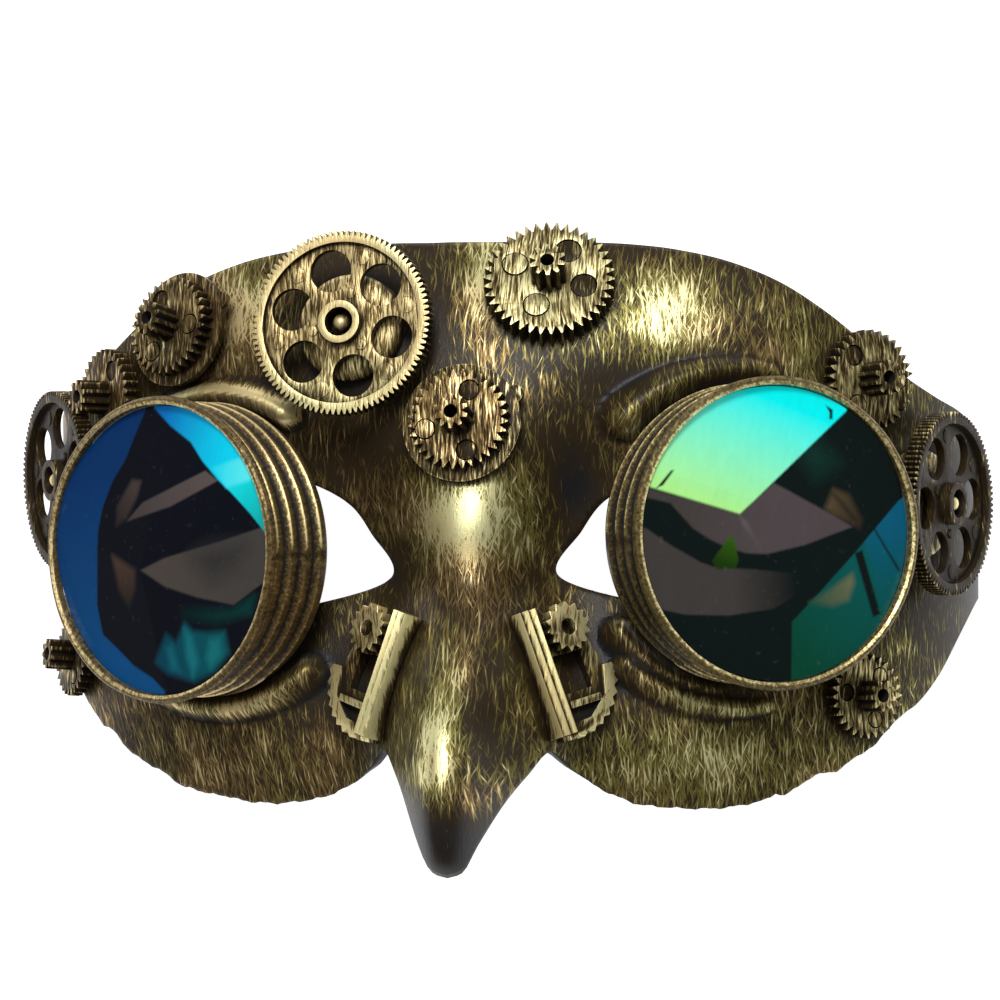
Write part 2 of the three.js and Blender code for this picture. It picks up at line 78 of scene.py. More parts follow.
class Slot(Enum):
    """The record's material slots."""

    SHELL = "shell"
    GOGGLE = "goggle"
    GEAR = "gear"
    LENS = "lens"


class Side(Enum):
    """The two halves of the mask, by the sign of X."""

    LEFT = -1
    RIGHT = 1

    @property
    def word(self) -> str:
        """The side's name as the nodes spell it."""
        return self.name.lower()


class ProfileRow(NamedTuple):
    """One level of the face: height of the ridge, of the face beside it, and the nose's half width."""

    y: float
    mid: float
    side: float
    ridge: float


class OutlineRow(NamedTuple):
    """Upper and lower edge of the mask at a distance from its middle."""

    x: float
    top: float
    bottom: float


class Roll(NamedTuple):
    """A lid roll beside a goggle: an arc in degrees, half widths and heights at its ends, and its gold."""

    side: Side
    start: float
    end: float
    radius: float
    thin: float
    wide: float
    low: float
    high: float
    gold: float


class Patch(NamedTuple):
    """A soft spot with more gold on the face, or less. Most follow the brush; some are painted highlights and
    painted shade.
    """

    x: float
    y: float
    wide: float
    tall: float
    amount: float


class Notch(NamedTuple):
    """A bite out of the torn cheek edge, or a lip where its depth is below zero."""

    x: float
    wide: float
    depth: float


PROFILE = (
    ProfileRow(-58, 82, 50, 11),
    ProfileRow(-53, 89, 52, 10.5),
    ProfileRow(-46, 91.5, 54, 11.2),
    ProfileRow(-38, 91, 56.5, 11.6),
    ProfileRow(-30, 87, 57, 11.6),
    ProfileRow(-22, 78.5, 56, 11.2),
    ProfileRow(-14, 68.5, 53.5, 10.8),
    ProfileRow(-7, 63, 51, 10.5),
    ProfileRow(3, 62.5, 50, 11.5),
    ProfileRow(12, 60.5, 50.5, 14),
    ProfileRow(24, 57, 51.5, 20),
    ProfileRow(36, 53, 50, 28),
    ProfileRow(44, 49, 46.5, 34),
    ProfileRow(52, 43.5, 41.5, 40),
)
OUTLINE = (
    OutlineRow(0, 51.5, -55.8),
    OutlineRow(2.8, 51.5, -54.6),
    OutlineRow(5, 51.5, -50.4),
    OutlineRow(8.5, 51.4, -43.8),
    OutlineRow(11.5, 51.4, -39.4),
    OutlineRow(14.3, 51.4, -36),
    OutlineRow(17.5, 51.3, -39.4),
    OutlineRow(21.5, 51.3, -42.6),
    OutlineRow(27, 51, -45),
    OutlineRow(34, 50.2, -46),
    OutlineRow(43, 48.2, -45.9),
    OutlineRow(52, 44.6, -43.8),
    OutlineRow(60, 39.4, -40.2),
    OutlineRow(67, 33.6, -35.6),
    OutlineRow(73, 28.6, -30.4),
    OutlineRow(78, 25.2, -24),
    OutlineRow(82, 22.8, -16),
    OutlineRow(84.5, 20, -10.6),
)
EYE_HOLE = (
    (14.6, -6.7),
    (18.4, 1.0),
    (23.0, 6.6),
    (32.0, 10.6),
    (44.0, 12.0),
    (55.0, 8.0),
    (59.0, -1.0),
    (54.0, -10.0),
    (43.0, -12.5),
    (30.0, -11.5),
)
ROLLS = (
    Roll(Side.RIGHT, 84, 134, 28.6, 1.8, 4.4, 1.2, 4.4, -0.10),
    Roll(Side.RIGHT, -86, -131, 29.6, 1.6, 3.2, 1.2, 3.2, 0.06),
    Roll(Side.RIGHT, -104, -141, 27.0, 1.8, 3.4, 1.0, 4.0, -0.02),
    Roll(Side.LEFT, 60, 121, 25.8, 1.8, 3.1, 2.0, 4.2, 0.52),
    Roll(Side.LEFT, -70, -127, 29.0, 1.8, 3.6, 1.4, 3.8, 0.12),
)
PATCHES = (
    # Painted highlight on the right brow, over its brushed gold.
    Patch(32.0, 38.5, 8.5, 8.5, 0.38),
    Patch(1.5, 45.0, 3.8, 9.0, 0.40),
    # Painted shadow beside the brow wheel.
    Patch(-6.5, 38.0, 4.0, 9.0, -0.15),
    # Painted shade under the brow wheel, seen through its holes.
    Patch(-20.8, 36.2, 12.0, 12.0, -0.60),
    # Painted shade below the brow wheel.
    Patch(-19.0, 15.0, 9.0, 6.5, -0.20),
    Patch(43.0, 47.0, 10.0, 4.0, -0.22),
    Patch(57.0, 33.0, 8.0, 7.0, 0.06),
    Patch(29.0, 27.5, 15.0, 4.5, -0.22),
    Patch(27.0, 50.0, 9.0, 3.0, -0.22),
    # Bridge of the nose: brushed gold with a painted highlight.
    Patch(0.0, 3.0, 9.0, 7.0, 0.58),
    Patch(5.0, -6.0, 9.0, 4.0, -0.08),
    # Beak ridge: brushed gold with a painted highlight.
    Patch(-1.0, -33.0, 3.8, 11.0, 0.32),
    Patch(5.5, -29.0, 2.6, 8.0, -0.28),
    Patch(-1.0, -52.0, 8.0, 7.0, -1.0),
    Patch(17.5, 8.0, 5.0, 13.0, -0.38),
    Patch(-14.0, -5.0, 4.0, 6.0, -0.22),
    Patch(-43.0, 40.0, 11.0, 8.0, 0.42),
    Patch(35.0, -38.0, 24.0, 8.0, 0.14),
    Patch(-35.0, -38.0, 24.0, 8.0, 0.10),
    Patch(24.0, -22.0, 8.0, 10.0, -0.30),
    Patch(-25.0, -24.0, 8.0, 9.0, -0.38),
    Patch(84.0, 0.0, 9.0, 28.0, -0.34),
    Patch(-84.0, 10.0, 8.0, 14.0, -0.18),
)
NOTCHES = (
    Notch(72.0, 3.0, 1.3),
    Notch(67.6, 1.3, -0.5),
    Notch(57.2, 2.8, 0.9),
    Notch(61.5, 1.5, -0.4),
    Notch(50.8, 0.6, 0.7),
    Notch(53.0, 1.0, -0.3),
    Notch(28.0, 1.6, -0.2),
    Notch(-67.5, 1.6, 0.8),
    Notch(-70.0, 1.2, -0.4),
    Notch(-57.5, 2.4, 0.4),
    Notch(-53.0, 1.4, -0.4),
    Notch(-44.5, 2.6, 0.4),
    Notch(-35.0, 2.4, -0.2),
)


def smooth_read(keys: Sequence[float], values: Sequence[float], at: np.ndarray) -> np.ndarray:
    """Reads a table's column with a smooth curve through its rows.

    Args:
        keys: The rows' places, rising.
        values: The column's values.
        at: Where to read it, held inside the table.

    Returns:
        The column's value at each place.
    """
    k = np.asarray(keys, float)
    v = np.asarray(values, float)
    before = np.maximum(np.arange(len(k)) - 1, 0)
    after = np.minimum(np.arange(len(k)) + 1, len(k) - 1)
    slope = (v[after] - v[before]) / (k[after] - k[before])
    held = np.clip(at, k[0], k[-1])
    i = np.clip(np.searchsorted(k, held, side="right") - 1, 0, len(k) - 2)
    step = k[i + 1] - k[i]
    t = (held - k[i]) / step
    ease = t * t * (3 - 2 * t)
    lead = t * (1 - t) ** 2 * step * slope[i]
    trail = t * t * (t - 1) * step * slope[i + 1]
    return v[i] * (1 - ease) + v[i + 1] * ease + lead + trail


@dataclass(frozen=True)
class FaceForm:
    """The mask's front as heights in millimetres over the surface that it lies on."""

    half_width: float = 84.5
    wrap_power: float = 2.7
    ridge_power: float = 2.3
    slope_step: float = 0.05
    askew: float = 0.0155
    bend_level: float = 20.0
    bend_points: int = 4001

    def column(self, name: str, y: np.ndarray) -> np.ndarray:
        """Reads one column of the face's profile at the given levels."""
        return smooth_read([r.y for r in PROFILE], [getattr(r, name) for r in PROFILE], y)

    def edge(self, name: str, x: np.ndarray) -> np.ndarray:
        """Reads the mask's upper or lower edge at the given distances from its middle."""
        level = smooth_read([r.x for r in OUTLINE], [getattr(r, name) for r in OUTLINE], np.abs(x))
        return level - self.askew * x

    def ridge(self, x: np.ndarray, y: np.ndarray) -> np.ndarray:
        """Height that the nose and the beak add to the face."""
        rise = self.column("mid", y) - self.column("side", y)
        return rise * np.exp(-((np.abs(x) / self.column("ridge", y)) ** self.ridge_power))

    def height(self, x: np.ndarray, y: np.ndarray) -> np.ndarray:
        """Height of the face at points across it."""
        wrap = np.minimum(np.abs(x) / self.half_width, 1.0) ** self.wrap_power
        return self.column("side", y) * np.sqrt(1 - wrap) + self.ridge(x, y)

    def level(self, x: np.ndarray, y: np.ndarray, z: np.ndarray) -> np.ndarray:
        """A level function that is the same all over the face."""
        part = (z - self.ridge(x, y)) / self.column("side", y)
        return part * part + (np.abs(x) / self.half_width) ** self.wrap_power

    def normal(self, x: np.ndarray, y: np.ndarray) -> np.ndarray:
        """Outward directions of the face, one row a point.

        Args:
            x: Distances from the mask's middle.
            y: Heights up the face.

        Returns:
            The directions, of length one.
        """
        z = self.height(x, y)
        h = self.slope_step
        slopes = (
            self.level(x + h, y, z) - self.level(x - h, y, z),
            self.level(x, y + h, z) - self.level(x, y - h, z),
            self.level(x, y, z + h) - self.level(x, y, z - h),
        )
        found = np.stack(slopes, axis=-1)
        return found / np.linalg.norm(found, axis=-1, keepdims=True)

    def columns(self, count: int) -> tuple[np.ndarray, np.ndarray]:
        """Places columns evenly along the face's curve from temple to temple.

        Args:
            count: How many columns.

        Returns:
            Distances from the middle, and distances along the curve.
        """
        fine = self.half_width * np.sin(np.linspace(-math.pi / 2, math.pi / 2, self.bend_points))
        level = np.full_like(fine, self.bend_level)
        bend = self.column("side", level) * np.sqrt(1 - (np.abs(fine) / self.half_width) ** self.wrap_power)
        run = np.concatenate([[0.0], np.cumsum(np.hypot(np.diff(fine), np.diff(bend)))])
        even = np.linspace(0.0, run[-1], count)
        return np.interp(even, run, fine), even - run[-1] / 2


FACE = FaceForm()
SHELL_LOW, SHELL_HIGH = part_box("mask_shell")
MASK_SHIFT = Vector(((SHELL_LOW.x + SHELL_HIGH.x) / 2 / MM, SHELL_LOW.y / MM - OUTLINE[0].bottom, 0.0))


class NodeTree:
    """A material's node tree with short calls for the nodes that the finishes share."""

    def __init__(self, name: str) -> None:
        """Starts an empty material with its output.

        Args:
            name: The material's name.
        """
        self.material = bpy.data.materials.new(name)
        self.material.use_nodes = True
        self.tree = self.material.node_tree
        self.tree.nodes.clear()
        self.output = self.tree.nodes.new("ShaderNodeOutputMaterial")

    def add(self, kind: str, inputs: dict | None = None, **settings: object) -> bpy.types.Node:
        """Adds a node.

        Args:
            kind: The node's type without its ShaderNode prefix.
            inputs: Socket names or numbers with a value or another node's socket.
            **settings: The node's own settings.

        Returns:
            The new node.
        """
        node = self.tree.nodes.new("ShaderNode" + kind)
        for name, value in settings.items():
            setattr(node, name, value)
        for key, value in (inputs or {}).items():
            if isinstance(value, Socket):
                self.tree.links.new(value, node.inputs[key])
            else:
                node.inputs[key].default_value = value
        return node

    def math(self, operation: str, a: Value, b: Value = 0.0, c: Value = 0.0) -> Socket:
        """Works out one sum on values or sockets."""
        return self.add("Math", {0: a, 1: b, 2: c}, operation=operation).outputs[0]

    def ramp(self, value: Value, low: float, high: float, start: float = 0.0, end: float = 1.0) -> Socket:
        """Maps a value's range smoothly onto another one."""
        inputs = {"Value": value, "From Min": low, "From Max": high, "To Min": start, "To Max": end}
        return self.add("MapRange", inputs, interpolation_type="SMOOTHSTEP").outputs["Result"]

    def mix(self, factor: Value, a: Shade, b: Shade, way: str = "MIX") -> Socket:
        """Mixes two colours, or multiplies them.

        Args:
            factor: Share of the second colour.
            a: The first colour.
            b: The second colour.
            way: The node's way of mixing.

        Returns:
            The mixed colour.
        """
        node = self.add("Mix", {0: factor}, data_type="RGBA", blend_type=way)
        for key, value in zip(MIX_COLOURS, (a, b)):
            if isinstance(value, Socket):
                self.tree.links.new(value, node.inputs[key])
            else:
                node.inputs[key].default_value = (*value, 1.0)
        return node.outputs[MIX_RESULT]

    def blend(self, factor: Value, a: float, b: float) -> Socket:
        """Mixes two numbers."""
        return self.add("MapRange", {"Value": factor, "To Min": a, "To Max": b}).outputs["Result"]

    def noise(self, vector: Socket, scale: float, detail: float = 2.0, rough: float = 0.55) -> bpy.types.Node:
        """Adds a noise texture on a vector."""
        return self.add("TexNoise", {"Vector": vector, "Scale": scale, "Detail": detail, "Roughness": rough})

    def stretch(self, vector: Socket, turn: float, scale: Sequence[float]) -> Socket:
        """Turns a vector about Z and scales it, so that noise on it comes out as strokes.

        Args:
            vector: The coordinates.
            turn: The turn in degrees.
            scale: The scale of each axis.

        Returns:
            The stretched coordinates.
        """
        turned = self.add("Mapping", {"Vector": vector, "Rotation": (0.0, 0.0, math.radians(turn))})
        scaled = self.add("Mapping", {"Vector": turned.outputs[0], "Scale": tuple(scale)})
        return scaled.outputs[0]

    def attribute(self, name: str, output: str = "Fac") -> Socket:
        """Reads a value that is stored on the mesh."""
        return self.add("Attribute", attribute_name=name).outputs[output]

    def principled(self, inputs: dict) -> bpy.types.Material:
        """Puts a principled shader on the output and returns the material.

        Args:
            inputs: The shader's sockets with their values or links.

        Returns:
            The finished material.
        """
        shader = self.add("BsdfPrincipled", inputs)
        self.tree.links.new(shader.outputs[0], self.output.inputs["Surface"])
        return self.material


class Weave(NamedTuple):
    """One set of brush strokes: lean in degrees, strokes a millimetre across and along, and strength."""

    lean: float
    across: float
    along: float
    strength: float


@dataclass(frozen=True)
class Gilding:
    """Gold paint dry-brushed over black plastic, greener to the right of the mask and warmer to its left."""

    name: str
    weaves: tuple[Weave, ...]
    mapped: bool = False
    pale: Colour = (0.91, 0.87, 0.47)
    rose: Colour = (0.87, 0.69, 0.34)
    olive: Colour = (0.26, 0.222, 0.056)
    bronze: Colour = (0.23, 0.148, 0.054)
    glaze: Colour = (0.028, 0.018, 0.0075)
    plastic: Colour = (0.015, 0.0145, 0.0152)
    reach: float = 0.82
    span: float = 0.42
    hollow: float = 0.0035
    hollow_range: Span = (0.25, 0.95)
    hollow_cover: float = 0.4
    warp: float = 3.2
    warp_scale: float = 0.05
    stroke_rough: float = 0.6
    drift: float = 0.55
    drift_scale: float = 0.09
    cloud_scale: float = 0.045
    warm_range: Span = (0.38, 0.66)
    base_range: Span = (-0.10, 0.03)
    gleam_range: Span = (0.015, 0.11)
    glaze_range: Span = (0.0, 0.3)
    grain: float = 0.35
    grain_scale: float = 3.2
    bump: float = 0.35
    bump_depth: float = 0.00025
    metallic: float = 0.72
    rough: float = 0.42
    bare_rough: float = 0.38
    wear: float = 0.3
    slant: float = 0.002
    crisp: float = 1.0
    sheen: float = 0.2

    def place(self, tree: NodeTree) -> Socket:
        """Coordinates in millimetres for the strokes, gently bent so that no two lie quite alike.

        Args:
            tree: The material's tree.

        Returns:
            The coordinates.
        """
        if self.mapped:
            raw = tree.add("UVMap", uv_map=STROKES).outputs["UV"]
        else:
            whole = tree.add("TexCoord").outputs["Object"]
            raw = tree.add("Mapping", {"Vector": whole, "Scale": (1 / MM,) * 3}).outputs[0]
        wave = tree.noise(raw, self.warp_scale, detail=1.0).outputs["Color"]
        middle = tree.add("VectorMath", {0: wave, 1: (0.5, 0.5, 0.5)}, operation="SUBTRACT").outputs[0]
        bend = tree.add("VectorMath", {0: middle, "Scale": self.warp}, operation="SCALE").outputs[0]
        return tree.add("VectorMath", {0: raw, 1: bend}, operation="ADD").outputs[0]

    def strokes(self, tree: NodeTree, place: Socket) -> Socket:
        """The strongest of all the weaves at each point.

        Args:
            tree: The material's tree.
            place: Where the strokes lie, in millimetres.

        Returns:
            The strokes' strength, from 0 to 1.
        """
        found = None
        for weave in self.weaves:
            vector = tree.stretch(place, weave.lean, (weave.across, weave.along, 0.0))
            lines = tree.noise(vector, 1.0, rough=self.stroke_rough).outputs["Fac"]
            lines = tree.math("MULTIPLY", lines, weave.strength)
            found = lines if found is None else tree.math("MAXIMUM", found, lines)
        return found

    def cover(self, tree: NodeTree, place: Socket) -> Socket:
        """Gold at each point: what the brush left, more on worn corners and less in hollows, partly where the
        brush misses them and partly as painted shade.

        Args:
            tree: The material's tree.
            place: Where the strokes lie, in millimetres.

        Returns:
            The gold's cover.
        """
        # The stored gold, which also carries painted highlights and painted shade on the face and the right
        # barrel.
        cover = tree.attribute(GILT_AND_PAINTED_LIGHT)
        cover = tree.math("MULTIPLY_ADD", tree.attribute(WORN), self.wear, cover)
        drift = tree.noise(place, self.drift_scale).outputs["Fac"]
        cover = tree.math("MULTIPLY_ADD", tree.math("SUBTRACT", drift, 0.5), self.drift, cover)
        # Ambient occlusion takes gold off hollows and the gaps between parts: partly the dry brush missing
        # them, partly painted shade.
        shade = tree.add("AmbientOcclusion", {"Distance": self.hollow}, samples=2).outputs["AO"]
        open_air = tree.ramp(shade, *self.hollow_range)
        kept = tree.math("MULTIPLY_ADD", open_air, 1 - self.hollow_cover, self.hollow_cover)
        return tree.math("MULTIPLY", cover, kept)

    def warmth(self, tree: NodeTree, place: Socket) -> Socket:
        """How far the gold leans to bronze at each point, from 0 to 1.

        Args:
            tree: The material's tree.
            place: Where the strokes lie, in millimetres.

        Returns:
            The lean.
        """
        cloud = tree.noise(place, self.cloud_scale).outputs["Fac"]
        across = tree.add("SeparateXYZ", {0: place}).outputs["X"]
        lean = tree.math("MULTIPLY_ADD", across, -self.slant, tree.attribute(TONE))
        return tree.ramp(tree.math("ADD", cloud, lean), *self.warm_range)

    def make(self) -> bpy.types.Material:
        """Builds the material.

        Returns:
            The material.
        """
        tree = NodeTree(self.name)
        place = self.place(tree)
        cover = self.cover(tree, place)
        edge = tree.math("MULTIPLY_ADD", cover, -self.span, self.reach)
        over = tree.math("SUBTRACT", self.strokes(tree, place), edge)
        over = tree.math("MULTIPLY", over, self.crisp)
        base = tree.ramp(over, *self.base_range)
        gleam = tree.ramp(over, *self.gleam_range)
        warm = self.warmth(tree, place)
        glazed = tree.mix(tree.ramp(cover, *self.glaze_range), self.plastic, self.glaze)
        colour = tree.mix(base, glazed, tree.mix(warm, self.olive, self.bronze))
        colour = tree.mix(gleam, colour, tree.mix(warm, self.pale, self.rose))
        grain = tree.noise(place, self.grain_scale).outputs["Fac"]
        height = tree.math("MULTIPLY_ADD", grain, self.grain, over)
        bump = tree.add("Bump", {"Strength": self.bump, "Distance": self.bump_depth, "Height": height})
        return tree.principled(
            {
                "Base Color": colour,
                "Metallic": tree.blend(base, 0.0, self.metallic),
                "Roughness": tree.blend(base, self.bare_rough, self.rough),
                "Specular IOR Level": self.sheen,
                "Normal": bump.outputs[0],
            }
        )


@dataclass(frozen=True)
class BarePlastic:
    """Black plastic of the mask's inside, moulded with a slight grain."""

    name: str = "bare_black_plastic"
    dark: Colour = (0.012, 0.012, 0.013)
    light: Colour = (0.026, 0.025, 0.027)
    rough: Span = (0.36, 0.5)
    sheen: float = 0.1
    cloud_scale: float = 60.0
    cloud_detail: float = 3.0
    grain_scale: float = 2600.0
    bump: float = 0.15
    bump_depth: float = 0.0002

    def make(self) -> bpy.types.Material:
        """Builds the material.

        Returns:
            The material.
        """
        tree = NodeTree(self.name)
        place = tree.add("TexCoord").outputs["Object"]
        cloud = tree.noise(place, self.cloud_scale, self.cloud_detail).outputs["Fac"]
        grain = tree.noise(place, self.grain_scale).outputs["Fac"]
        bump = tree.add("Bump", {"Strength": self.bump, "Distance": self.bump_depth, "Height": grain})
        return tree.principled(
            {
                "Base Color": tree.mix(cloud, self.dark, self.light),
                "Roughness": tree.blend(cloud, *self.rough),
                "Specular IOR Level": self.sheen,
                "Normal": bump.outputs[0],
            }
        )


@dataclass(frozen=True)
class MirrorCoat:
    """Mirror coat of a faceted lens: painted reflections of the room, streaked, lightly dusted, and glowing a
    little as if lit.
    """

    name: str = "faceted_mirror"
    metallic: float = 0.1
    roughness: float = 0.16
    sheen: float = 0.2
    glow: float = 0.22
    detail: float = 4.0
    streak_turn: float = 20.0
    streak_scale: tuple[float, ...] = (900.0, 160.0, 900.0)
    streak_shade: Span = (0.72, 0.88)
    dust: Colour = (0.5, 0.5, 0.52)
    dust_scale: float = 700.0
    dust_range: Span = (0.62, 0.8)
    dust_cover: float = 0.05

    def make(self) -> bpy.types.Material:
        """Builds the material.

        Returns:
            The material.
        """
        tree = NodeTree(self.name)
        place = tree.add("TexCoord").outputs["Object"]
        # Painted reflections of the room, stored on each lens.
        painted_reflection = tree.attribute(PAINTED_REFLECTION, "Color")
        drawn = tree.stretch(place, self.streak_turn, self.streak_scale)
        streak = tree.noise(drawn, 1.0, self.detail).outputs["Fac"]
        specks = tree.noise(place, self.dust_scale, self.detail).outputs["Fac"]
        dusty = tree.ramp(specks, *self.dust_range, 0.0, self.dust_cover)
        shade = tree.blend(streak, *self.streak_shade)
        grey = tree.add("CombineColor", {0: shade, 1: shade, 2: shade}).outputs[0]
        # The painted reflections, darkened in streaks.
        worn = tree.mix(1.0, painted_reflection, grey, "MULTIPLY")
        return tree.principled(
            {
                "Base Color": tree.mix(dusty, worn, self.dust),
                "Metallic": self.metallic,
                "Roughness": self.roughness,
                "Specular IOR Level": self.sheen,
                # The painted reflections glow a little, though the lens is no lamp.
                "Emission Color": painted_reflection,
                "Emission Strength": self.glow,
            }
        )


SHELL_GILDING = Gilding(
    "gilded_shell",
    (
        Weave(4, 2.5, 0.17, 1.0),
        Weave(-9, 2.2, 0.15, 0.99),
        Weave(24, 2.8, 0.26, 0.95),
        Weave(-30, 2.8, 0.26, 0.94),
    ),
    mapped=True,
)
GEAR_GILDING = Gilding(
    "gilded_clockwork",
    (Weave(3, 2.8, 0.24, 1.0), Weave(-7, 2.0, 0.2, 0.98)),
    pale=(0.92, 0.84, 0.44),
    olive=(0.30, 0.235, 0.095),
    hollow=0.002,
    wear=0.55,
    sheen=0.08,
)
GOGGLE_GILDING = Gilding(
    "gilded_goggles",
    (Weave(12, 1.7, 1.1, 1.0), Weave(-40, 2.2, 1.4, 0.97)),
    pale=(0.88, 0.75, 0.38),
    rose=(0.76, 0.6, 0.3),
    olive=(0.22, 0.165, 0.058),
    hollow=0.002,
    crisp=0.4,
)


class Finishes:
    """The materials, made once and shared by the pieces."""

    def __init__(self) -> None:
        """Builds every finish."""
        self.shell = SHELL_GILDING.make()
        self.gear = GEAR_GILDING.make()
        self.goggle = GOGGLE_GILDING.make()
        self.plastic = BarePlastic().make()
        self.mirror = MirrorCoat().make()


@dataclass(frozen=True)
class Seat:
    """Where a round piece of the frame sits: its axis is +Z, and +Y leans to the forehead."""

    matrix: Matrix

    @property
    def axis(self) -> Vector:
        """The way that the piece's front looks."""
        return self.matrix.col[2].xyz

    @classmethod
    def of(cls, node: str, datum: float = 0.0) -> "Seat":
        """Finds a node's axis from its flat faces.

        Args:
            node: The CAD node.
            datum: Height over the seat of the node's largest face that looks down its axis.

        Returns:
            The seat, in millimetres.
        """
        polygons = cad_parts[node].data.polygons
        normals = np.array([p.normal for p in polygons])
        centres = np.array([p.center for p in polygons]) / MM
        areas = np.array([p.area for p in polygons])
        alike = normals @ normals.T > ALIKE
        best = int(np.argmax(alike @ areas))
        axis = normals[alike[best]].mean(axis=0)
        axis /= np.linalg.norm(axis) * (1 if axis[2] > 0 else -1)
        down = normals @ axis < -ALIKE
        heights = centres @ axis
        near = [areas[down & (np.abs(heights - h) < SAME_LEVEL)].sum() for h in heights[down]]
        floor = heights[down][int(np.argmax(near))]
        flat = down & (np.abs(heights - floor) < SAME_LEVEL)
        middle = (centres[flat] * areas[flat, None]).sum(axis=0) / areas[flat].sum()
        z = Vector(axis)
        y = (Vector((0, 1, 0)) - z * z.y).normalized()
        x = y.cross(z)
        matrix = Matrix((x, y, z)).transposed().to_4x4()
        matrix.translation = Vector(middle) - z * datum
        return cls(matrix)


def set_numbers(mesh: bpy.types.Mesh, name: str, domain: str, values: np.ndarray) -> None:
    """Stores one number a vertex or face on a mesh under a name."""
    layer = mesh.attributes.new(name, "FLOAT", domain)
    layer.data.foreach_set("value", np.asarray(values, np.float32))


def wear_of(bm: BMesh, full: float = 0.45) -> np.ndarray:
    """How far each corner of a mesh stands out, from -1 in a recess to 1 on an edge.

    Args:
        bm: The mesh, with its normals out.
        full: Mean bend, in radians, that counts as a full edge.

    Returns:
        One number a vertex.
    """
    bends = []
    for vert in bm.verts:
        turns = [e.calc_face_angle_signed(0.0) for e in vert.link_edges if len(e.link_faces) == 2]
        bends.append(sum(turns) / max(len(turns), 1))
    return np.clip(np.array(bends) / full, -1.0, 1.0)


def points_of(verts: Iterable[BMVert]) -> np.ndarray:
    """Places of vertices as rows of numbers."""
    return np.array([v.co for v in verts], float).reshape(-1, 3)


def reach_of(bm: BMesh) -> np.ndarray:
    """Distance of each vertex from the Z axis."""
    return np.hypot(*points_of(bm.verts)[:, :2].T)


def move_to(verts: Sequence[BMVert], places: np.ndarray) -> None:
    """Moves vertices to places, row by row."""
    for vert, place in zip(verts, places):
        vert.co = place


def edges_of(verts: Iterable[BMVert]) -> list[BMEdge]:
    """The edges that hang on vertices, each once."""
    return list({edge for vert in verts for edge in vert.link_edges})


def ring(
    bm: BMesh, radius: float, segments: int, x: float = 0.0, y: float = 0.0, z: float = 0.0
) -> list[BMEdge]:
    """Adds a round loop of edges and returns it.

    Args:
        bm: The mesh that takes it.
        radius: The loop's radius.
        segments: How many edges it has.
        x: Its middle's X.
        y: Its middle's Y.
        z: Its height.

    Returns:
        The loop's edges.
    """
    place = Matrix.Translation((x, y, z))
    made = bmesh.ops.create_circle(bm, cap_ends=False, radius=radius, segments=segments, matrix=place)
    return edges_of(made["verts"])


def toothed_ring(bm: BMesh, teeth: int, tip: float, root: float, z: float, crest: float) -> list[BMEdge]:
    """Adds a loop with pointed teeth.

    Args:
        bm: The mesh that takes it.
        teeth: How many teeth.
        tip: Radius at the teeth's tips.
        root: Radius between the teeth.
        z: Height of the loop.
        crest: Share of a tooth's pitch that its tip takes.

    Returns:
        The loop's edges.
    """
    corners = 4 * teeth
    made = bmesh.ops.create_circle(bm, cap_ends=False, radius=root, segments=corners)
    phases = (FLANKS[0], 0.5 - crest / 2, 0.5 + crest / 2, FLANKS[1])
    radii = (root, tip, tip, root)
    for vert in made["verts"]:
        k = round(math.atan2(vert.co.y, vert.co.x) / math.tau * corners) % corners
        angle = (k // 4 + phases[k % 4]) * math.tau / teeth
        vert.co = (radii[k % 4] * math.cos(angle), radii[k % 4] * math.sin(angle), z)
    return edges_of(made["verts"])


def prism(bm: BMesh, loops: Sequence[Sequence[BMEdge]], height: float) -> None:
    """Fills flat loops, the first round the others, and pulls them up into a solid.

    Args:
        bm: The mesh that holds the loops.
        loops: The outer loop, then its holes.
        height: How far it is pulled.
    """
    edges = [edge for loop in loops for edge in loop]
    filled = bmesh.ops.triangle_fill(bm, use_beauty=True, edges=edges, normal=(0, 0, 1))
    faces = [item for item in filled["geom"] if isinstance(item, BMFace)]
    pulled = bmesh.ops.extrude_face_region(bm, geom=faces)
    verts = [item for item in pulled["geom"] if isinstance(item, BMVert)]
    bmesh.ops.translate(bm, verts=verts, vec=(0, 0, height))


def turned(bm: BMesh, profile: Sequence[tuple[float, float]], steps: int) -> list[BMVert]:
    """Spins a closed profile of radii and heights about Z.

    Args:
        bm: The mesh that takes it.
        profile: Radius and height of each corner, round the section.
        steps: Steps of the full turn.

    Returns:
        The vertices of the new form.
    """
    old = set(bm.verts)
    verts = [bm.verts.new((radius, 0.0, height)) for radius, height in profile]
    edges = [bm.edges.new(pair) for pair in zip(verts, verts[1:] + verts[:1])]
    bmesh.ops.spin(
        bm, geom=verts + edges, cent=(0, 0, 0), axis=(0, 0, 1), angle=math.tau, steps=steps, use_merge=True
    )
    fresh = [v for v in bm.verts if v not in old]
    bmesh.ops.remove_doubles(bm, verts=fresh, dist=WELD)
    return [v for v in bm.verts if v not in old]


def soften(bm: BMesh, width: float, segments: int = 2, angle: float = 40.0) -> None:
    """Turns the normals out and rounds every sharp edge.

    Args:
        bm: The mesh.
        width: How far the rounding reaches.
        segments: Steps of the rounding.
        angle: Bend in degrees from which an edge is sharp.
    """
    bmesh.ops.recalc_face_normals(bm, faces=bm.faces)
    limit = math.radians(angle)
    sharp = [e for e in bm.edges if len(e.link_faces) == 2 and e.calc_face_angle(0.0) > limit]
    bmesh.ops.bevel(
        bm,
        geom=sharp,
        offset=width,
        affect="EDGES",
        segments=segments,
        profile=0.5,
        material=-1,
        clamp_overlap=True,
    )


def put_in_scene(name: str, data: bpy.types.ID) -> bpy.types.Object:
    """Makes an object of a mesh, light or camera and links it to the scene.

    Args:
        name: The object's name.
        data: What it shows.

    Returns:
        The object.
    """
    obj = bpy.data.objects.new(name, data)
    bpy.context.scene.collection.objects.link(obj)
    return obj


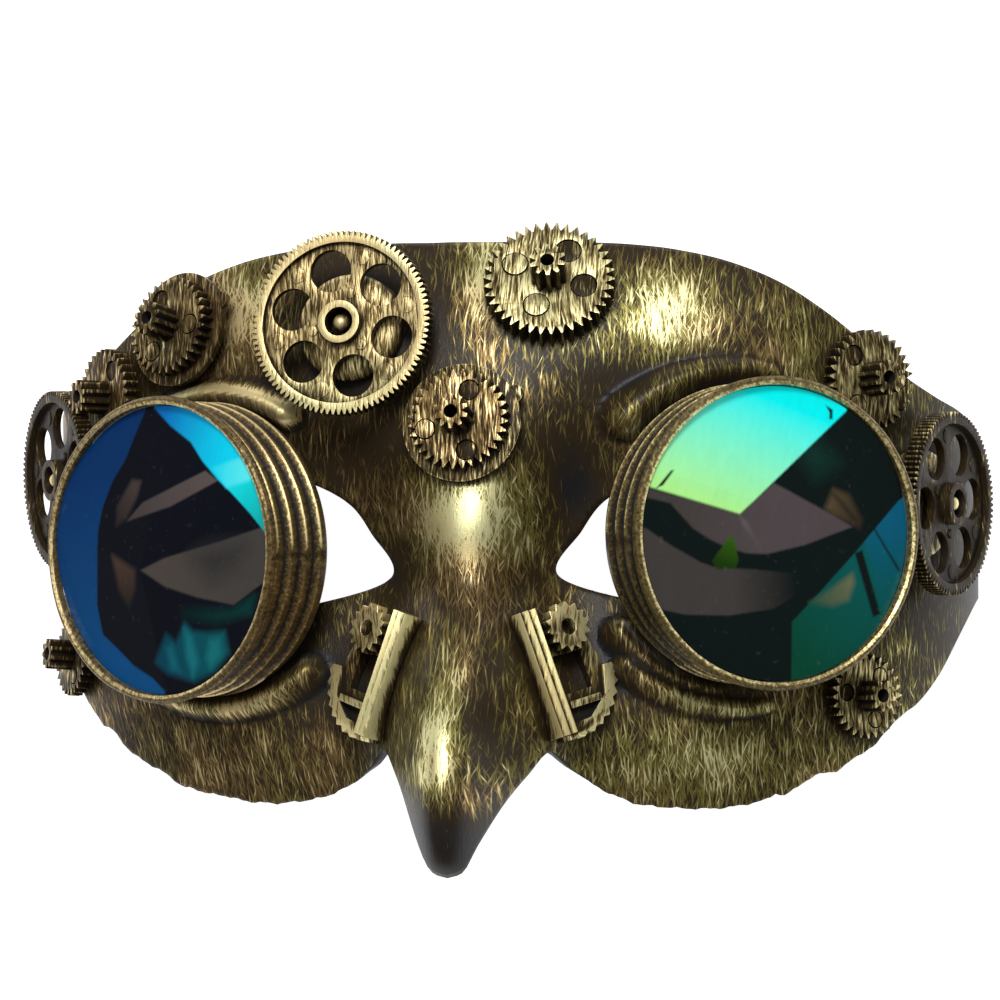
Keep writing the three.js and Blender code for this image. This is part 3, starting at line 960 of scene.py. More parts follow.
@dataclass
class Piece:
    """A finished piece of the mask and what it stands for."""

    name: str
    slot: Slot
    replaces: tuple[str, ...]
    materials: tuple[bpy.types.Material, ...]
    sharp_angle: float = 32.0
    tone: float = 0.0

    def finish(self, bm: BMesh, matrix: Matrix) -> bpy.types.Object:
        """Turns a mesh in millimetres into an object at its place.

        Args:
            bm: The mesh, which is freed.
            matrix: Its place in the part, in millimetres.

        Returns:
            The object, riding on the mask.
        """
        bm.normal_update()
        wear = wear_of(bm)
        bmesh.ops.transform(bm, matrix=Matrix.Scale(MM, 4) @ matrix, verts=bm.verts)
        mesh = bpy.data.meshes.new(self.name)
        bm.to_mesh(mesh)
        bm.free()
        set_numbers(mesh, WORN, "POINT", wear)
        set_numbers(mesh, TONE, "POINT", np.full(len(wear), self.tone))
        mesh.shade_smooth()
        mesh.set_sharp_from_angle(angle=math.radians(self.sharp_angle))
        for material in self.materials:
            mesh.materials.append(material)
        obj = put_in_scene(self.name, mesh)
        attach(obj, BODY)
        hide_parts(*self.replaces)
        LOG.info("%s: %d faces", self.name, len(mesh.polygons))
        return obj


def gild_by_axis(obj: bpy.types.Object, axis: Vector, top: float, wall: float) -> np.ndarray:
    """Works out each face's gold: more where it looks along an axis than on the walls beside it.

    Args:
        obj: The piece.
        axis: The way that the brush met it.
        top: Gold on faces that look that way.
        wall: Gold on the walls.

    Returns:
        The gold of each face.
    """
    normals = np.array([p.normal for p in obj.data.polygons])
    facing = np.clip(normals @ np.array(axis), 0.0, 1.0) ** FACING_POWER
    return wall + (top - wall) * facing


def places_in(obj: bpy.types.Object, matrix: Matrix) -> np.ndarray:
    """Middles of a piece's faces in a frame of its own, in millimetres."""
    inward = matrix.inverted()
    return np.array([inward @ (p.center / MM) for p in obj.data.polygons])


@dataclass
class Shell:
    """The moulded face with its lid rolls, eye holes and torn lower edge."""

    finishes: Finishes
    columns: int = 270
    rows: int = 150
    wall: float = 2.0
    roll_centre: float = 46.0
    roll_power: float = 1.2
    roll_blunt: float = 0.5
    base_gold: float = 0.47
    most_gold: float = 1.1
    tear_from: float = 17.0
    tear_to: float = 76.0
    tear_in: float = 4.0
    tear_out: float = 6.0
    sweep: float = 0.45
    sweep_below: float = 12.0
    ripple: float = 0.13
    ripples: tuple[tuple[float, float, float], ...] = ((1.0, 1.31, 0.4), (0.7, 2.93, 1.3))
    eye_points: int = 16
    flat_to: float = 84.3

    def torn(self, x: np.ndarray) -> np.ndarray:
        """How far the torn cheek edge departs from its smooth line.

        Args:
            x: Distances from the mask's middle.

        Returns:
            Rise of the edge at each distance.
        """
        begun = np.clip((np.abs(x) - self.tear_from) / self.tear_in, 0, 1)
        left = np.clip((self.tear_to - np.abs(x)) / self.tear_out, 0, 1)
        bite = self.ripple * sum(part * np.sin(rate * x + phase) for part, rate, phase in self.ripples)
        for notch in NOTCHES:
            bite = bite + notch.depth * np.exp(-(((x - notch.x) / notch.wide) ** 2))
        return begun * left * bite

    def roll_share(self, roll: Roll, x: np.ndarray, y: np.ndarray) -> tuple[np.ndarray, np.ndarray]:
        """How much of a lid roll lies over points of the face, from 0 to 1, and its height there.

        Args:
            roll: The lid roll.
            x: Distances from the mask's middle.
            y: Heights up the face.

        Returns:
            The share and the height at each point.
        """
        over = x * roll.side.value
        away = np.hypot(over - self.roll_centre, y)
        angle = np.degrees(np.arctan2(y, over - self.roll_centre))
        along = (angle - roll.start) / (roll.end - roll.start)
        held = np.clip(along, 0.0, 1.0)
        wide = roll.thin + (roll.wide - roll.thin) * held
        span = math.radians(abs(roll.end - roll.start)) * roll.radius
        before = np.where(along < 0, -along * span * self.roll_blunt, 0.0)
        past = np.where(along > 1, (along - 1) * span, before)
        reach = np.hypot((away - roll.radius) / wide, past / wide)
        share = np.clip(1 - reach**2, 0.0, 1.0) ** self.roll_power
        return share, (roll.low + (roll.high - roll.low) * held) * share

    def rolls(self, x: np.ndarray, y: np.ndarray) -> np.ndarray:
        """Height that the lid rolls stand over the face."""
        return np.max([self.roll_share(roll, x, y)[1] for roll in ROLLS], axis=0)

    def gold(self, x: np.ndarray, y: np.ndarray) -> np.ndarray:
        """Gold over the face: what the brush left, with painted highlights and painted shade from some
        patches.

        Args:
            x: Distances from the mask's middle.
            y: Heights up the face.

        Returns:
            The gold at each point.
        """
        cover = np.full_like(x, self.base_gold)
        for patch in PATCHES:
            reach = ((x - patch.x) / patch.wide) ** 2 + ((y - patch.y) / patch.tall) ** 2
            cover += patch.amount * np.exp(-reach)
        for roll in ROLLS:
            cover += roll.gold * self.roll_share(roll, x, y)[0]
        return np.clip(cover, 0.0, self.most_gold)

    def eye_curve(self) -> np.ndarray:
        """Points round the right eye hole on a smooth closed curve.

        Returns:
            The points, one a row.
        """
        edge = np.array(EYE_HOLE)
        count = len(edge)
        spots = []
        for i in range(count):
            a, b, c, d = (edge[(i + k) % count] for k in (-1, 0, 1, 2))
            for t in np.linspace(0, 1, self.eye_points, endpoint=False):
                pull = (c - a) * t + (2 * a - 5 * b + 4 * c - d) * t**2 + (3 * b - a - 3 * c + d) * t**3
                spots.append(b + 0.5 * pull)
        return np.array(spots)

    def cut_eyes(self, bm: BMesh, flat: dict[BMVert, np.ndarray]) -> None:
        """Opens the eye holes and draws their rims onto the holes' curve.

        Args:
            bm: The face's grid, already formed.
            flat: Each vertex's place across the face.
        """
        curve = self.eye_curve()
        after = np.roll(curve, -1, axis=0)
        gone = []
        for face in bm.faces:
            x, y = np.mean([flat[v] for v in face.verts], axis=0)
            spans = (curve[:, 1] > y) != (after[:, 1] > y)
            slope = (after[:, 0] - curve[:, 0]) / (after[:, 1] - curve[:, 1] + NEVER_ZERO)
            crosses = spans & (abs(x) < slope * (y - curve[:, 1]) + curve[:, 0])
            if crosses.sum() % 2:
                gone.append(face)
        inner = {v for face in gone for v in face.verts}
        bmesh.ops.delete(bm, geom=gone, context="FACES")
        rim = [v for v in inner if v.is_valid and v.is_boundary]
        for vert in rim:
            x, y = flat[vert]
            side = 1 if x > 0 else -1
            near = curve[np.argmin(np.hypot(curve[:, 0] - abs(x), curve[:, 1] - y))]
            flat[vert] = np.array([side * near[0], near[1]])
        places = np.array([flat[v] for v in rim])
        heights = FACE.height(places[:, 0], places[:, 1])
        move_to(rim, np.column_stack([places, heights]))

    def build(self) -> None:
        """Builds the shell and dresses it."""
        bm = bmesh.new()
        strokes = bm.loops.layers.uv.new(STROKES)
        bmesh.ops.create_grid(bm, x_segments=self.columns, y_segments=self.rows, size=1.0)
        bm.verts.ensure_lookup_table()
        verts = list(bm.verts)
        unit = points_of(verts)
        spots, runs = FACE.columns(self.columns + 1)
        column = np.rint((unit[:, 0] + 1) / 2 * self.columns).astype(int)
        x = spots[column]
        share = (unit[:, 1] + 1) / 2
        low = FACE.edge("bottom", x) + self.torn(x)
        y = low + (FACE.edge("top", x) - low) * share
        lift = self.rolls(x, y)
        places = np.column_stack([x, y, FACE.height(x, y)])
        outward = FACE.normal(np.clip(x, -self.flat_to, self.flat_to), y)
        places += outward * lift[:, None]
        move_to(verts, places)
        flat = {v: np.array([a, b]) for v, a, b in zip(verts, x, y)}
        run = {v: r for v, r in zip(verts, runs[column])}
        for face in bm.faces:
            for loop in face.loops:
                across, up = flat[loop.vert]
                swept = max(0.0, -across / FACE.half_width) * min(0.0, up + self.sweep_below) * self.sweep
                loop[strokes].uv = (run[loop.vert] + swept, loop.vert.co.y)
        self.cut_eyes(bm, flat)
        bmesh.ops.recalc_face_normals(bm, faces=bm.faces)
        bm.faces.ensure_lookup_table()
        if bm.faces[0].normal.z < 0:
            bmesh.ops.reverse_faces(bm, faces=bm.faces)
        where = np.array([flat[v] for v in bm.verts])
        finish = (self.finishes.shell, self.finishes.plastic)
        piece = Piece("gilded_face", Slot.SHELL, ("mask_shell",), finish)
        obj = piece.finish(bm, Matrix.Translation(MASK_SHIFT))
        # Gold over the face, with the painted highlights and painted shade of its patches.
        set_numbers(obj.data, GILT_AND_PAINTED_LIGHT, "POINT", self.gold(where[:, 0], where[:, 1]))
        wall = obj.modifiers.new("wall", "SOLIDIFY")
        wall.thickness = self.wall * MM
        wall.offset = -1
        wall.material_offset = 1
        wall.material_offset_rim = 1


class Pane(NamedTuple):
    """One patch of a lens's painted reflection: corners over the lens's radius, and its colour at both ends.
    """

    corners: tuple[tuple[float, float], ...]
    first: Colour
    last: Colour
    start: tuple[float, float] = (-1.0, 0.0)
    end: tuple[float, float] = (1.0, 0.0)
    soft: float = 0.014


MAUVE = (0.083, 0.066, 0.070)
SMOKE = (0.056, 0.049, 0.045)
NIGHT = (0.003, 0.008, 0.008)
# Painted reflections of the room on each lens, as soft-edged panes.
RIGHT_PANES = (
    Pane(((0.13, 0.6), (0.29, 0.63), (0.44, 0.48), (0.28, 0.39)),
         (0.004, 0.04, 0.026), (0.004, 0.03, 0.024), soft=0.2),
    Pane(
        ((0.34, 0.17), (0.41, 0.3), (0.53, 0.26), (0.64, 0.09), (0.62, 0.03), (0.4, 0.12)),
        (0.085, 0.060, 0.030),
        (0.035, 0.025, 0.015),
        (0.38, 0.2),
        (0.62, 0.1),
        0.05,
    ),
    Pane(((0.4, 0.26), (0.42, 0.27), (0.6, 0.08), (0.57, 0.08)),
         (0.03, 0.022, 0.013), (0.02, 0.016, 0.01), soft=0.04),
    Pane(
        ((-1.1, 0.1), (-0.97, 0.04), (-0.8, -0.07), (-0.58, -0.19), (-0.49, -0.22), (-0.11, -0.25),
         (0.16, -0.28), (0.16, -0.4), (-0.05, -0.51), (-0.37, -0.55), (-0.68, -0.54), (-0.87, -0.5),
         (-1.1, -0.45)),
        SMOKE,
        NIGHT,
        (-0.35, -0.4),
        (0.12, -0.36),
    ),
    Pane(
        ((-1.1, 0.34), (-0.92, 0.3), (-0.3, 0.14), (-0.04, 0.34), (0.56, 0.04), (0.4, -0.01), (0.18, -0.08),
         (-0.11, -0.14), (-0.26, -0.13), (-0.4, -0.09), (-0.53, -0.03), (-0.64, 0.04), (-0.8, 0.21),
         (-1.1, 0.28)),
        SMOKE,
        MAUVE,
        (-0.8, 0.2),
        (-0.1, 0.05),
    ),
    Pane(((-0.3, 0.12), (-0.25, 0.08), (-0.14, -0.12), (-0.28, 0.06)),
         (0.13, 0.11, 0.115), MAUVE, (-0.3, 0.1), (-0.14, -0.13), 0.03),
    Pane(((-0.5, -0.18), (-0.38, -0.02), (-0.35, -0.02), (-0.31, -0.18), (-0.33, -0.23), (-0.46, -0.24)),
         (0.010, 0.042, 0.002), (0.030, 0.100, 0.004), (-0.42, -0.2), (-0.36, -0.05)),
    Pane(
        ((0.09, -0.6), (0.6, -0.12), (0.7, -0.02), (0.93, 0.21), (1.2, 0.4), (1.2, -1.2), (0.09, -1.2)),
        (0.001, 0.062, 0.032),
        (0.001, 0.105, 0.100),
        (0.15, -0.85),
        (0.72, -0.2),
    ),
    Pane(((0.66, -0.06), (0.7, -0.02), (0.93, 0.21), (1.2, 0.4), (1.2, -0.45), (0.8, -0.5)),
         (0.001, 0.098, 0.105), (0.002, 0.115, 0.22), (0.78, -0.4), (0.9, 0.1)),
    Pane(((0.22, -0.47), (0.36, -0.4), (0.56, -0.28), (0.58, -0.34), (0.53, -0.46), (0.4, -0.5)),
         (0.03, 0.085, 0.050), (0.13, 0.15, 0.08), (0.25, -0.48), (0.55, -0.34), 0.05),
    Pane(((0.58, -0.14), (0.64, -0.12), (0.79, -0.56), (0.73, -0.58)), NIGHT, NIGHT),
    Pane(((0.725, 0.03), (0.74, 0.03), (0.95, -0.26), (0.935, -0.27)), NIGHT, NIGHT),
    Pane(
        ((-1.2, 0.39), (-0.91, 0.31), (-0.3, 0.135), (0.53, 0.83), (0.7, 1.2), (-1.2, 1.2)),
        (0.47, 1.0, 0.30),
        (0.0, 1.0, 1.0),
        (-0.3, 0.135),
        (-0.02, 0.91),
    ),
    Pane(((-0.9, 0.31), (-0.85, 0.33), (-0.77, 0.43), (-0.79, 0.43)), NIGHT, NIGHT),
    Pane(((0.38, 0.87), (0.43, 0.84), (0.425, 0.775), (0.40, 0.775), (0.405, 0.82)), NIGHT, NIGHT),
)
LEFT_PANES = (
    Pane(
        ((-0.15, 0.98), (-0.25, 0.78), (-0.32, 0.63), (-0.43, 0.49), (-0.52, 0.29), (-0.56, 0.15),
         (-0.58, -0.09), (-0.61, -0.38), (-0.57, -0.59), (-0.41, -0.7), (-0.26, -0.81), (-0.08, -0.89),
         (0.04, -0.98), (0.04, -1.3), (-1.3, -1.3), (-1.3, 1.3), (-0.15, 1.3)),
        (0.001, 0.032, 0.135),
        (0.001, 0.075, 0.240),
        (-0.7, 0.5),
        (-0.45, -0.8),
    ),
    Pane(((0.25, -0.41), (0.67, -0.42), (0.85, -0.33), (0.82, -0.43), (0.53, -0.5), (0.25, -0.47)),
         (0.001, 0.016, 0.016), (0.001, 0.05, 0.045), (0.25, -0.45), (0.8, -0.4), 0.1),
    Pane(((-0.04, -0.78), (0.08, -0.58), (0.17, -0.64), (0.26, -0.5), (0.33, -0.56), (0.44, -0.57),
          (0.6, -0.56), (0.63, -0.71), (0.5, -0.84), (0.32, -0.91), (0.08, -0.86)),
         (0.001, 0.055, 0.095), (0.002, 0.090, 0.105), (0.0, -0.75), (0.6, -0.65), 0.05),
    Pane(((0.25, -0.54), (0.32, -0.6), (0.37, -0.78), (0.31, -0.88), (0.26, -0.74)),
         (0.006, 0.20, 0.23), (0.006, 0.14, 0.18), soft=0.06),
    Pane(((0.47, -0.62), (0.55, -0.61), (0.57, -0.72), (0.47, -0.82), (0.43, -0.75)),
         (0.006, 0.19, 0.21), (0.006, 0.15, 0.17), soft=0.06),
    Pane(((0.08, -0.68), (0.13, -0.66), (0.19, -0.84), (0.11, -0.83)),
         (0.004, 0.13, 0.18), (0.004, 0.12, 0.16), soft=0.06),
    Pane(
        ((-0.13, -0.14), (0.09, -0.06), (0.57, 0.05), (0.95, 0.15), (1.2, 0.2), (1.2, -0.3), (0.95, -0.22),
         (0.83, -0.29), (0.68, -0.38), (0.38, -0.33), (0.08, -0.25)),
        (0.076, 0.062, 0.054),
        (0.060, 0.054, 0.050),
        (0.1, -0.1),
        (0.9, 0.0),
    ),
    Pane(((0.36, -0.06), (0.5, 0.0), (0.78, 0.02), (0.7, -0.12), (0.5, -0.2)),
         (0.024, 0.024, 0.026), (0.03, 0.03, 0.03), soft=0.25),
    Pane(((-0.38, 0.17), (-0.37, 0.31), (-0.24, 0.49), (-0.15, 0.48), (-0.18, 0.37), (-0.27, 0.22)),
         (0.062, 0.046, 0.042), (0.026, 0.020, 0.019), (-0.2, 0.48), (-0.36, 0.22), 0.04),
    Pane(((-0.27, 0.2), (-0.12, 0.33), (0.46, 0.54), (0.57, 0.47), (0.15, 0.3)),
         (0.060, 0.048, 0.047), (0.110, 0.084, 0.081), (-0.2, 0.2), (0.5, 0.5)),
    Pane(((-0.42, -0.03), (-0.19, -0.14), (-0.2, -0.27), (-0.28, -0.41), (-0.37, -0.27)),
         (0.070, 0.040, 0.028), (0.016, 0.012, 0.011), (-0.3, -0.08), (-0.28, -0.4), 0.05),
    Pane(
        ((-0.07, 1.3), (-0.07, 0.99), (0.1, 0.86), (0.31, 0.74), (0.44, 0.6), (0.57, 0.48), (0.69, 0.39),
         (0.84, 0.25), (0.96, 0.12), (1.3, 0.0), (1.3, 1.3)),
        (0.001, 0.170, 0.560),
        (0.002, 0.720, 1.0),
        (0.02, 0.9),
        (0.66, 0.66),
    ),
    Pane(((0.66, 0.42), (0.9, 0.48), (1.2, 0.5), (1.2, 0.0), (0.96, 0.12), (0.84, 0.25)),
         (0.004, 0.80, 0.86), (0.006, 0.44, 0.42), (0.75, 0.44), (0.94, 0.15)),
    Pane(((0.52, 0.56), (0.83, 0.64), (0.9, 0.48), (0.65, 0.42)),
         (0.02, 0.80, 1.0), (0.12, 0.96, 1.0), (0.55, 0.55), (0.85, 0.52), 0.03),
)


@dataclass
class Lens:
    """A faceted mirror lens with painted reflections: three wide facets and three strips round a small table.
    """

    side: Side
    finishes: Finishes
    panes: tuple[Pane, ...]
    dark: Colour
    radius: float = 24.7
    table: float = 17.0
    seat: float = 12.7
    table_radius: float = 4.6
    tilt: float = 6.5
    facets: int = 3
    strip: float = 0.5
    start: float = 103.0
    cells: int = 190

    def top(self, x: np.ndarray, y: np.ndarray) -> np.ndarray:
        """Height of the faceted front.

        Args:
            x: Places across the lens.
            y: Places up the lens.

        Returns:
            The height at each place.
        """
        height = np.full_like(x, self.table)
        for k in range(2 * self.facets):
            share = self.strip if k % 2 else 1.0
            slope = math.tan(math.radians(self.tilt)) * share
            begin = self.table_radius * share
            angle = math.radians(self.start) + k * math.pi / self.facets
            out = x * math.cos(angle) + y * math.sin(angle) - begin
            height = np.minimum(height, self.table - slope * out)
        return height

    @staticmethod
    def depth(pane: Pane, u: np.ndarray, v: np.ndarray) -> np.ndarray:
        """How deep points lie inside a pane, or below zero how far outside it.

        Args:
            pane: The pane.
            u: Places across the lens, over its radius.
            v: Places up the lens, over its radius.

        Returns:
            The depth at each place.
        """
        inside = np.zeros(len(u), bool)
        near = np.full(len(u), np.inf)
        for (ax, ay), (bx, by) in zip(pane.corners, pane.corners[1:] + pane.corners[:1]):
            along = ((u - ax) * (bx - ax) + (v - ay) * (by - ay)) / ((bx - ax) ** 2 + (by - ay) ** 2)
            along = np.clip(along, 0.0, 1.0)
            near = np.minimum(near, np.hypot(u - ax - along * (bx - ax), v - ay - along * (by - ay)))
            if ay != by:
                inside ^= ((ay > v) != (by > v)) & (u < (bx - ax) * (v - ay) / (by - ay) + ax)
        return np.where(inside, near, -near)

    def painted_reflections(self, u: np.ndarray, v: np.ndarray) -> np.ndarray:
        """Painted reflections on the mirror coat over the lens, in linear values.

        Args:
            u: Places across the lens, over its radius.
            v: Places up the lens, over its radius.

        Returns:
            The colours, four values a row.
        """
        shades = np.tile(np.array(self.dark), (len(u), 1))
        for pane in self.panes:
            run = np.array(pane.end) - np.array(pane.start)
            share = ((u - pane.start[0]) * run[0] + (v - pane.start[1]) * run[1]) / (run @ run)
            share = np.clip(share, 0.0, 1.0)[:, None]
            mixed = np.array(pane.first) * (1 - share) + np.array(pane.last) * share
            cover = np.clip(0.5 + self.depth(pane, u, v) / pane.soft, 0.0, 1.0)[:, None]
            shades = shades * (1 - cover) + mixed * cover
        return np.column_stack([shades, np.ones(len(u))])

    def build(self) -> None:
        """Builds the lens in its goggle."""
        node = f"{self.side.word}_lens"
        bm = bmesh.new()
        bmesh.ops.create_grid(bm, x_segments=self.cells, y_segments=self.cells, size=1.0)
        verts = list(bm.verts)
        a, b = points_of(verts)[:, :2].T
        u = a * np.sqrt(1 - b * b / 2)
        v = b * np.sqrt(1 - a * a / 2)
        x, y = u * self.radius, v * self.radius
        move_to(verts, np.column_stack([x, y, self.top(x, y)]))
        rim = [e for e in bm.edges if e.is_boundary]
        skirt = bmesh.ops.extrude_edge_only(bm, edges=rim)["geom"]
        for vert in (item for item in skirt if isinstance(item, BMVert)):
            vert.co.z = self.seat
        bmesh.ops.contextual_create(bm, geom=[e for e in bm.edges if e.is_boundary])
        bmesh.ops.recalc_face_normals(bm, faces=bm.faces)
        spots = points_of(bm.verts)
        colours = self.painted_reflections(spots[:, 0] / self.radius, spots[:, 1] / self.radius)
        colours[spots[:, 2] < self.seat + SAME_LEVEL, :3] = self.dark
        piece = Piece(f"{node}_faceted", Slot.LENS, (node,), (self.finishes.mirror,), sharp_angle=1.0)
        obj = piece.finish(bm, Seat.of(node, self.seat).matrix)
        # Stores the painted reflections on the lens.
        layer = obj.data.attributes.new(PAINTED_REFLECTION, "FLOAT_COLOR", "POINT")
        layer.data.foreach_set("color", colours.astype(np.float32).ravel())


@dataclass
class Goggle:
    """A ribbed barrel and its front ring."""

    side: Side
    finishes: Finishes
    outer: float = 25.6
    groove: float = 24.4
    inner: float = 23.0
    ribs: int = 4
    pitch: float = 3.7
    lip: float = 24.8
    lip_drop: float = 0.1
    top_edge: float = 24.86
    rib_points: int = 9
    rib_margin: float = 0.06
    rib_crest: float = 0.72
    rib_power: float = 0.6
    ring_outer: float = 26.4
    ring_inner: float = 24.9
    ring_top: float = 16.6
    gap: float = 0.05
    steps: int = 144
    lens_back: float = 12.7
    barrel_gold: float = 1.2
    crest_gold: float = 0.65
    peak_gold: float = 0.55
    peak_from: float = 0.875
    ring_gold: float = 0.85
    ring_side_gold: float = 0.3
    seam_turn: float = 2.0
    seam_width: float = 2.6
    seam_depth: float = 0.42
    step_depth: float = 0.24
    step_end: float = -60.0
    dents: tuple[tuple[float, float, float], ...] = ((0.0022, 5, 0.4), (0.0016, 11, 0.0))

    def barrel(self, seat: Seat) -> None:
        """Builds the ribbed barrel with its parting seam.

        Args:
            seat: Where the goggle sits.
        """
        bm = bmesh.new()
        top = self.ribs * self.pitch
        profile = [(self.inner, 0.0), (self.groove, 0.0)]
        for k in range(self.ribs):
            for t in np.linspace(self.rib_margin, 1 - self.rib_margin, self.rib_points):
                side = t / self.rib_crest if t < self.rib_crest else (1 - t) / (1 - self.rib_crest)
                swell = min(side, 1.0) ** self.rib_power
                profile.append((self.groove + (self.outer - self.groove) * swell, (k + t) * self.pitch))
        step = self.lens_back - self.lip_drop
        profile += [(self.top_edge, top), (self.lip, top), (self.lip, step), (self.inner, step)]
        verts = turned(bm, profile, self.steps)
        for vert in verts:
            angle = math.degrees(math.atan2(vert.co.y, vert.co.x * -self.side.value))
            near = max(0.0, 1 - abs(angle + self.seam_turn) / self.seam_width)
            below = self.step_depth if self.step_end < angle < -self.seam_turn else 0.0
            radius = math.hypot(vert.co.x, vert.co.y)
            share = max(0.0, (radius - self.top_edge) / (self.outer - self.top_edge))
            shrink = 1 - share * (self.seam_depth * near + below) / radius
            vert.co.x *= shrink
            vert.co.y *= shrink
        bmesh.ops.recalc_face_normals(bm, faces=bm.faces)
        crest = np.clip((reach_of(bm) - self.groove) / (self.outer - self.groove), 0.0, 1.0)
        node = f"{self.side.word}_goggle_barrel"
        piece = Piece(f"{self.side.word}_barrel_ribbed", Slot.GOGGLE, (node,), (self.finishes.goggle,))
        obj = piece.finish(bm, seat.matrix)
        peak = np.clip((crest - self.peak_from) / (1 - self.peak_from), 0.0, 1.0)
        gold = self.crest_gold * crest + self.peak_gold * peak
        set_numbers(obj.data, GILT_AND_PAINTED_LIGHT, "POINT", gold * self.barrel_gold)

    def ring(self, seat: Seat) -> None:
        """Builds the rounded front ring that holds the lens.

        Args:
            seat: Where the goggle sits.
        """
        bm = bmesh.new()
        foot = self.ribs * self.pitch + self.gap
        middle = (self.ring_outer + self.ring_inner) / 2
        profile = [
            (self.ring_inner, foot),
            (self.ring_outer - 0.4, foot),
            (self.ring_outer - 0.08, foot + 0.25),
            (self.ring_outer, foot + 0.6),
            (self.ring_outer, self.ring_top - 0.9),
            (self.ring_outer - 0.15, self.ring_top - 0.4),
            (middle + 0.2, self.ring_top - 0.05),
            (middle - 0.2, self.ring_top),
            (self.ring_inner + 0.1, self.ring_top - 0.3),
            (self.ring_inner, self.ring_top - 0.7),
        ]
        verts = turned(bm, profile, self.steps)
        for vert in verts:
            angle = math.atan2(vert.co.y, vert.co.x)
            dent = sum((deep * math.sin(rate * angle + phase) for deep, rate, phase in self.dents), 1.0)
            if math.hypot(vert.co.x, vert.co.y) > middle:
                vert.co.x *= dent
                vert.co.y *= dent
        bmesh.ops.recalc_face_normals(bm, faces=bm.faces)
        gold = np.where(reach_of(bm) < middle, self.ring_gold, self.ring_side_gold)
        node = f"{self.side.word}_goggle_bezel"
        piece = Piece(f"{self.side.word}_front_ring", Slot.GOGGLE, (node,), (self.finishes.goggle,))
        obj = piece.finish(bm, seat.matrix)
        set_numbers(obj.data, GILT_AND_PAINTED_LIGHT, "POINT", gold)

    def build(self) -> None:
        """Builds the goggle's two metal-look pieces."""
        seat = Seat.of(f"{self.side.word}_lens", self.lens_back)
        self.barrel(seat)
        self.ring(seat)


class Studs(NamedTuple):
    """A ring of small round bosses on a wheel's web."""

    count: int
    ring: float
    radius: float
    rise: float


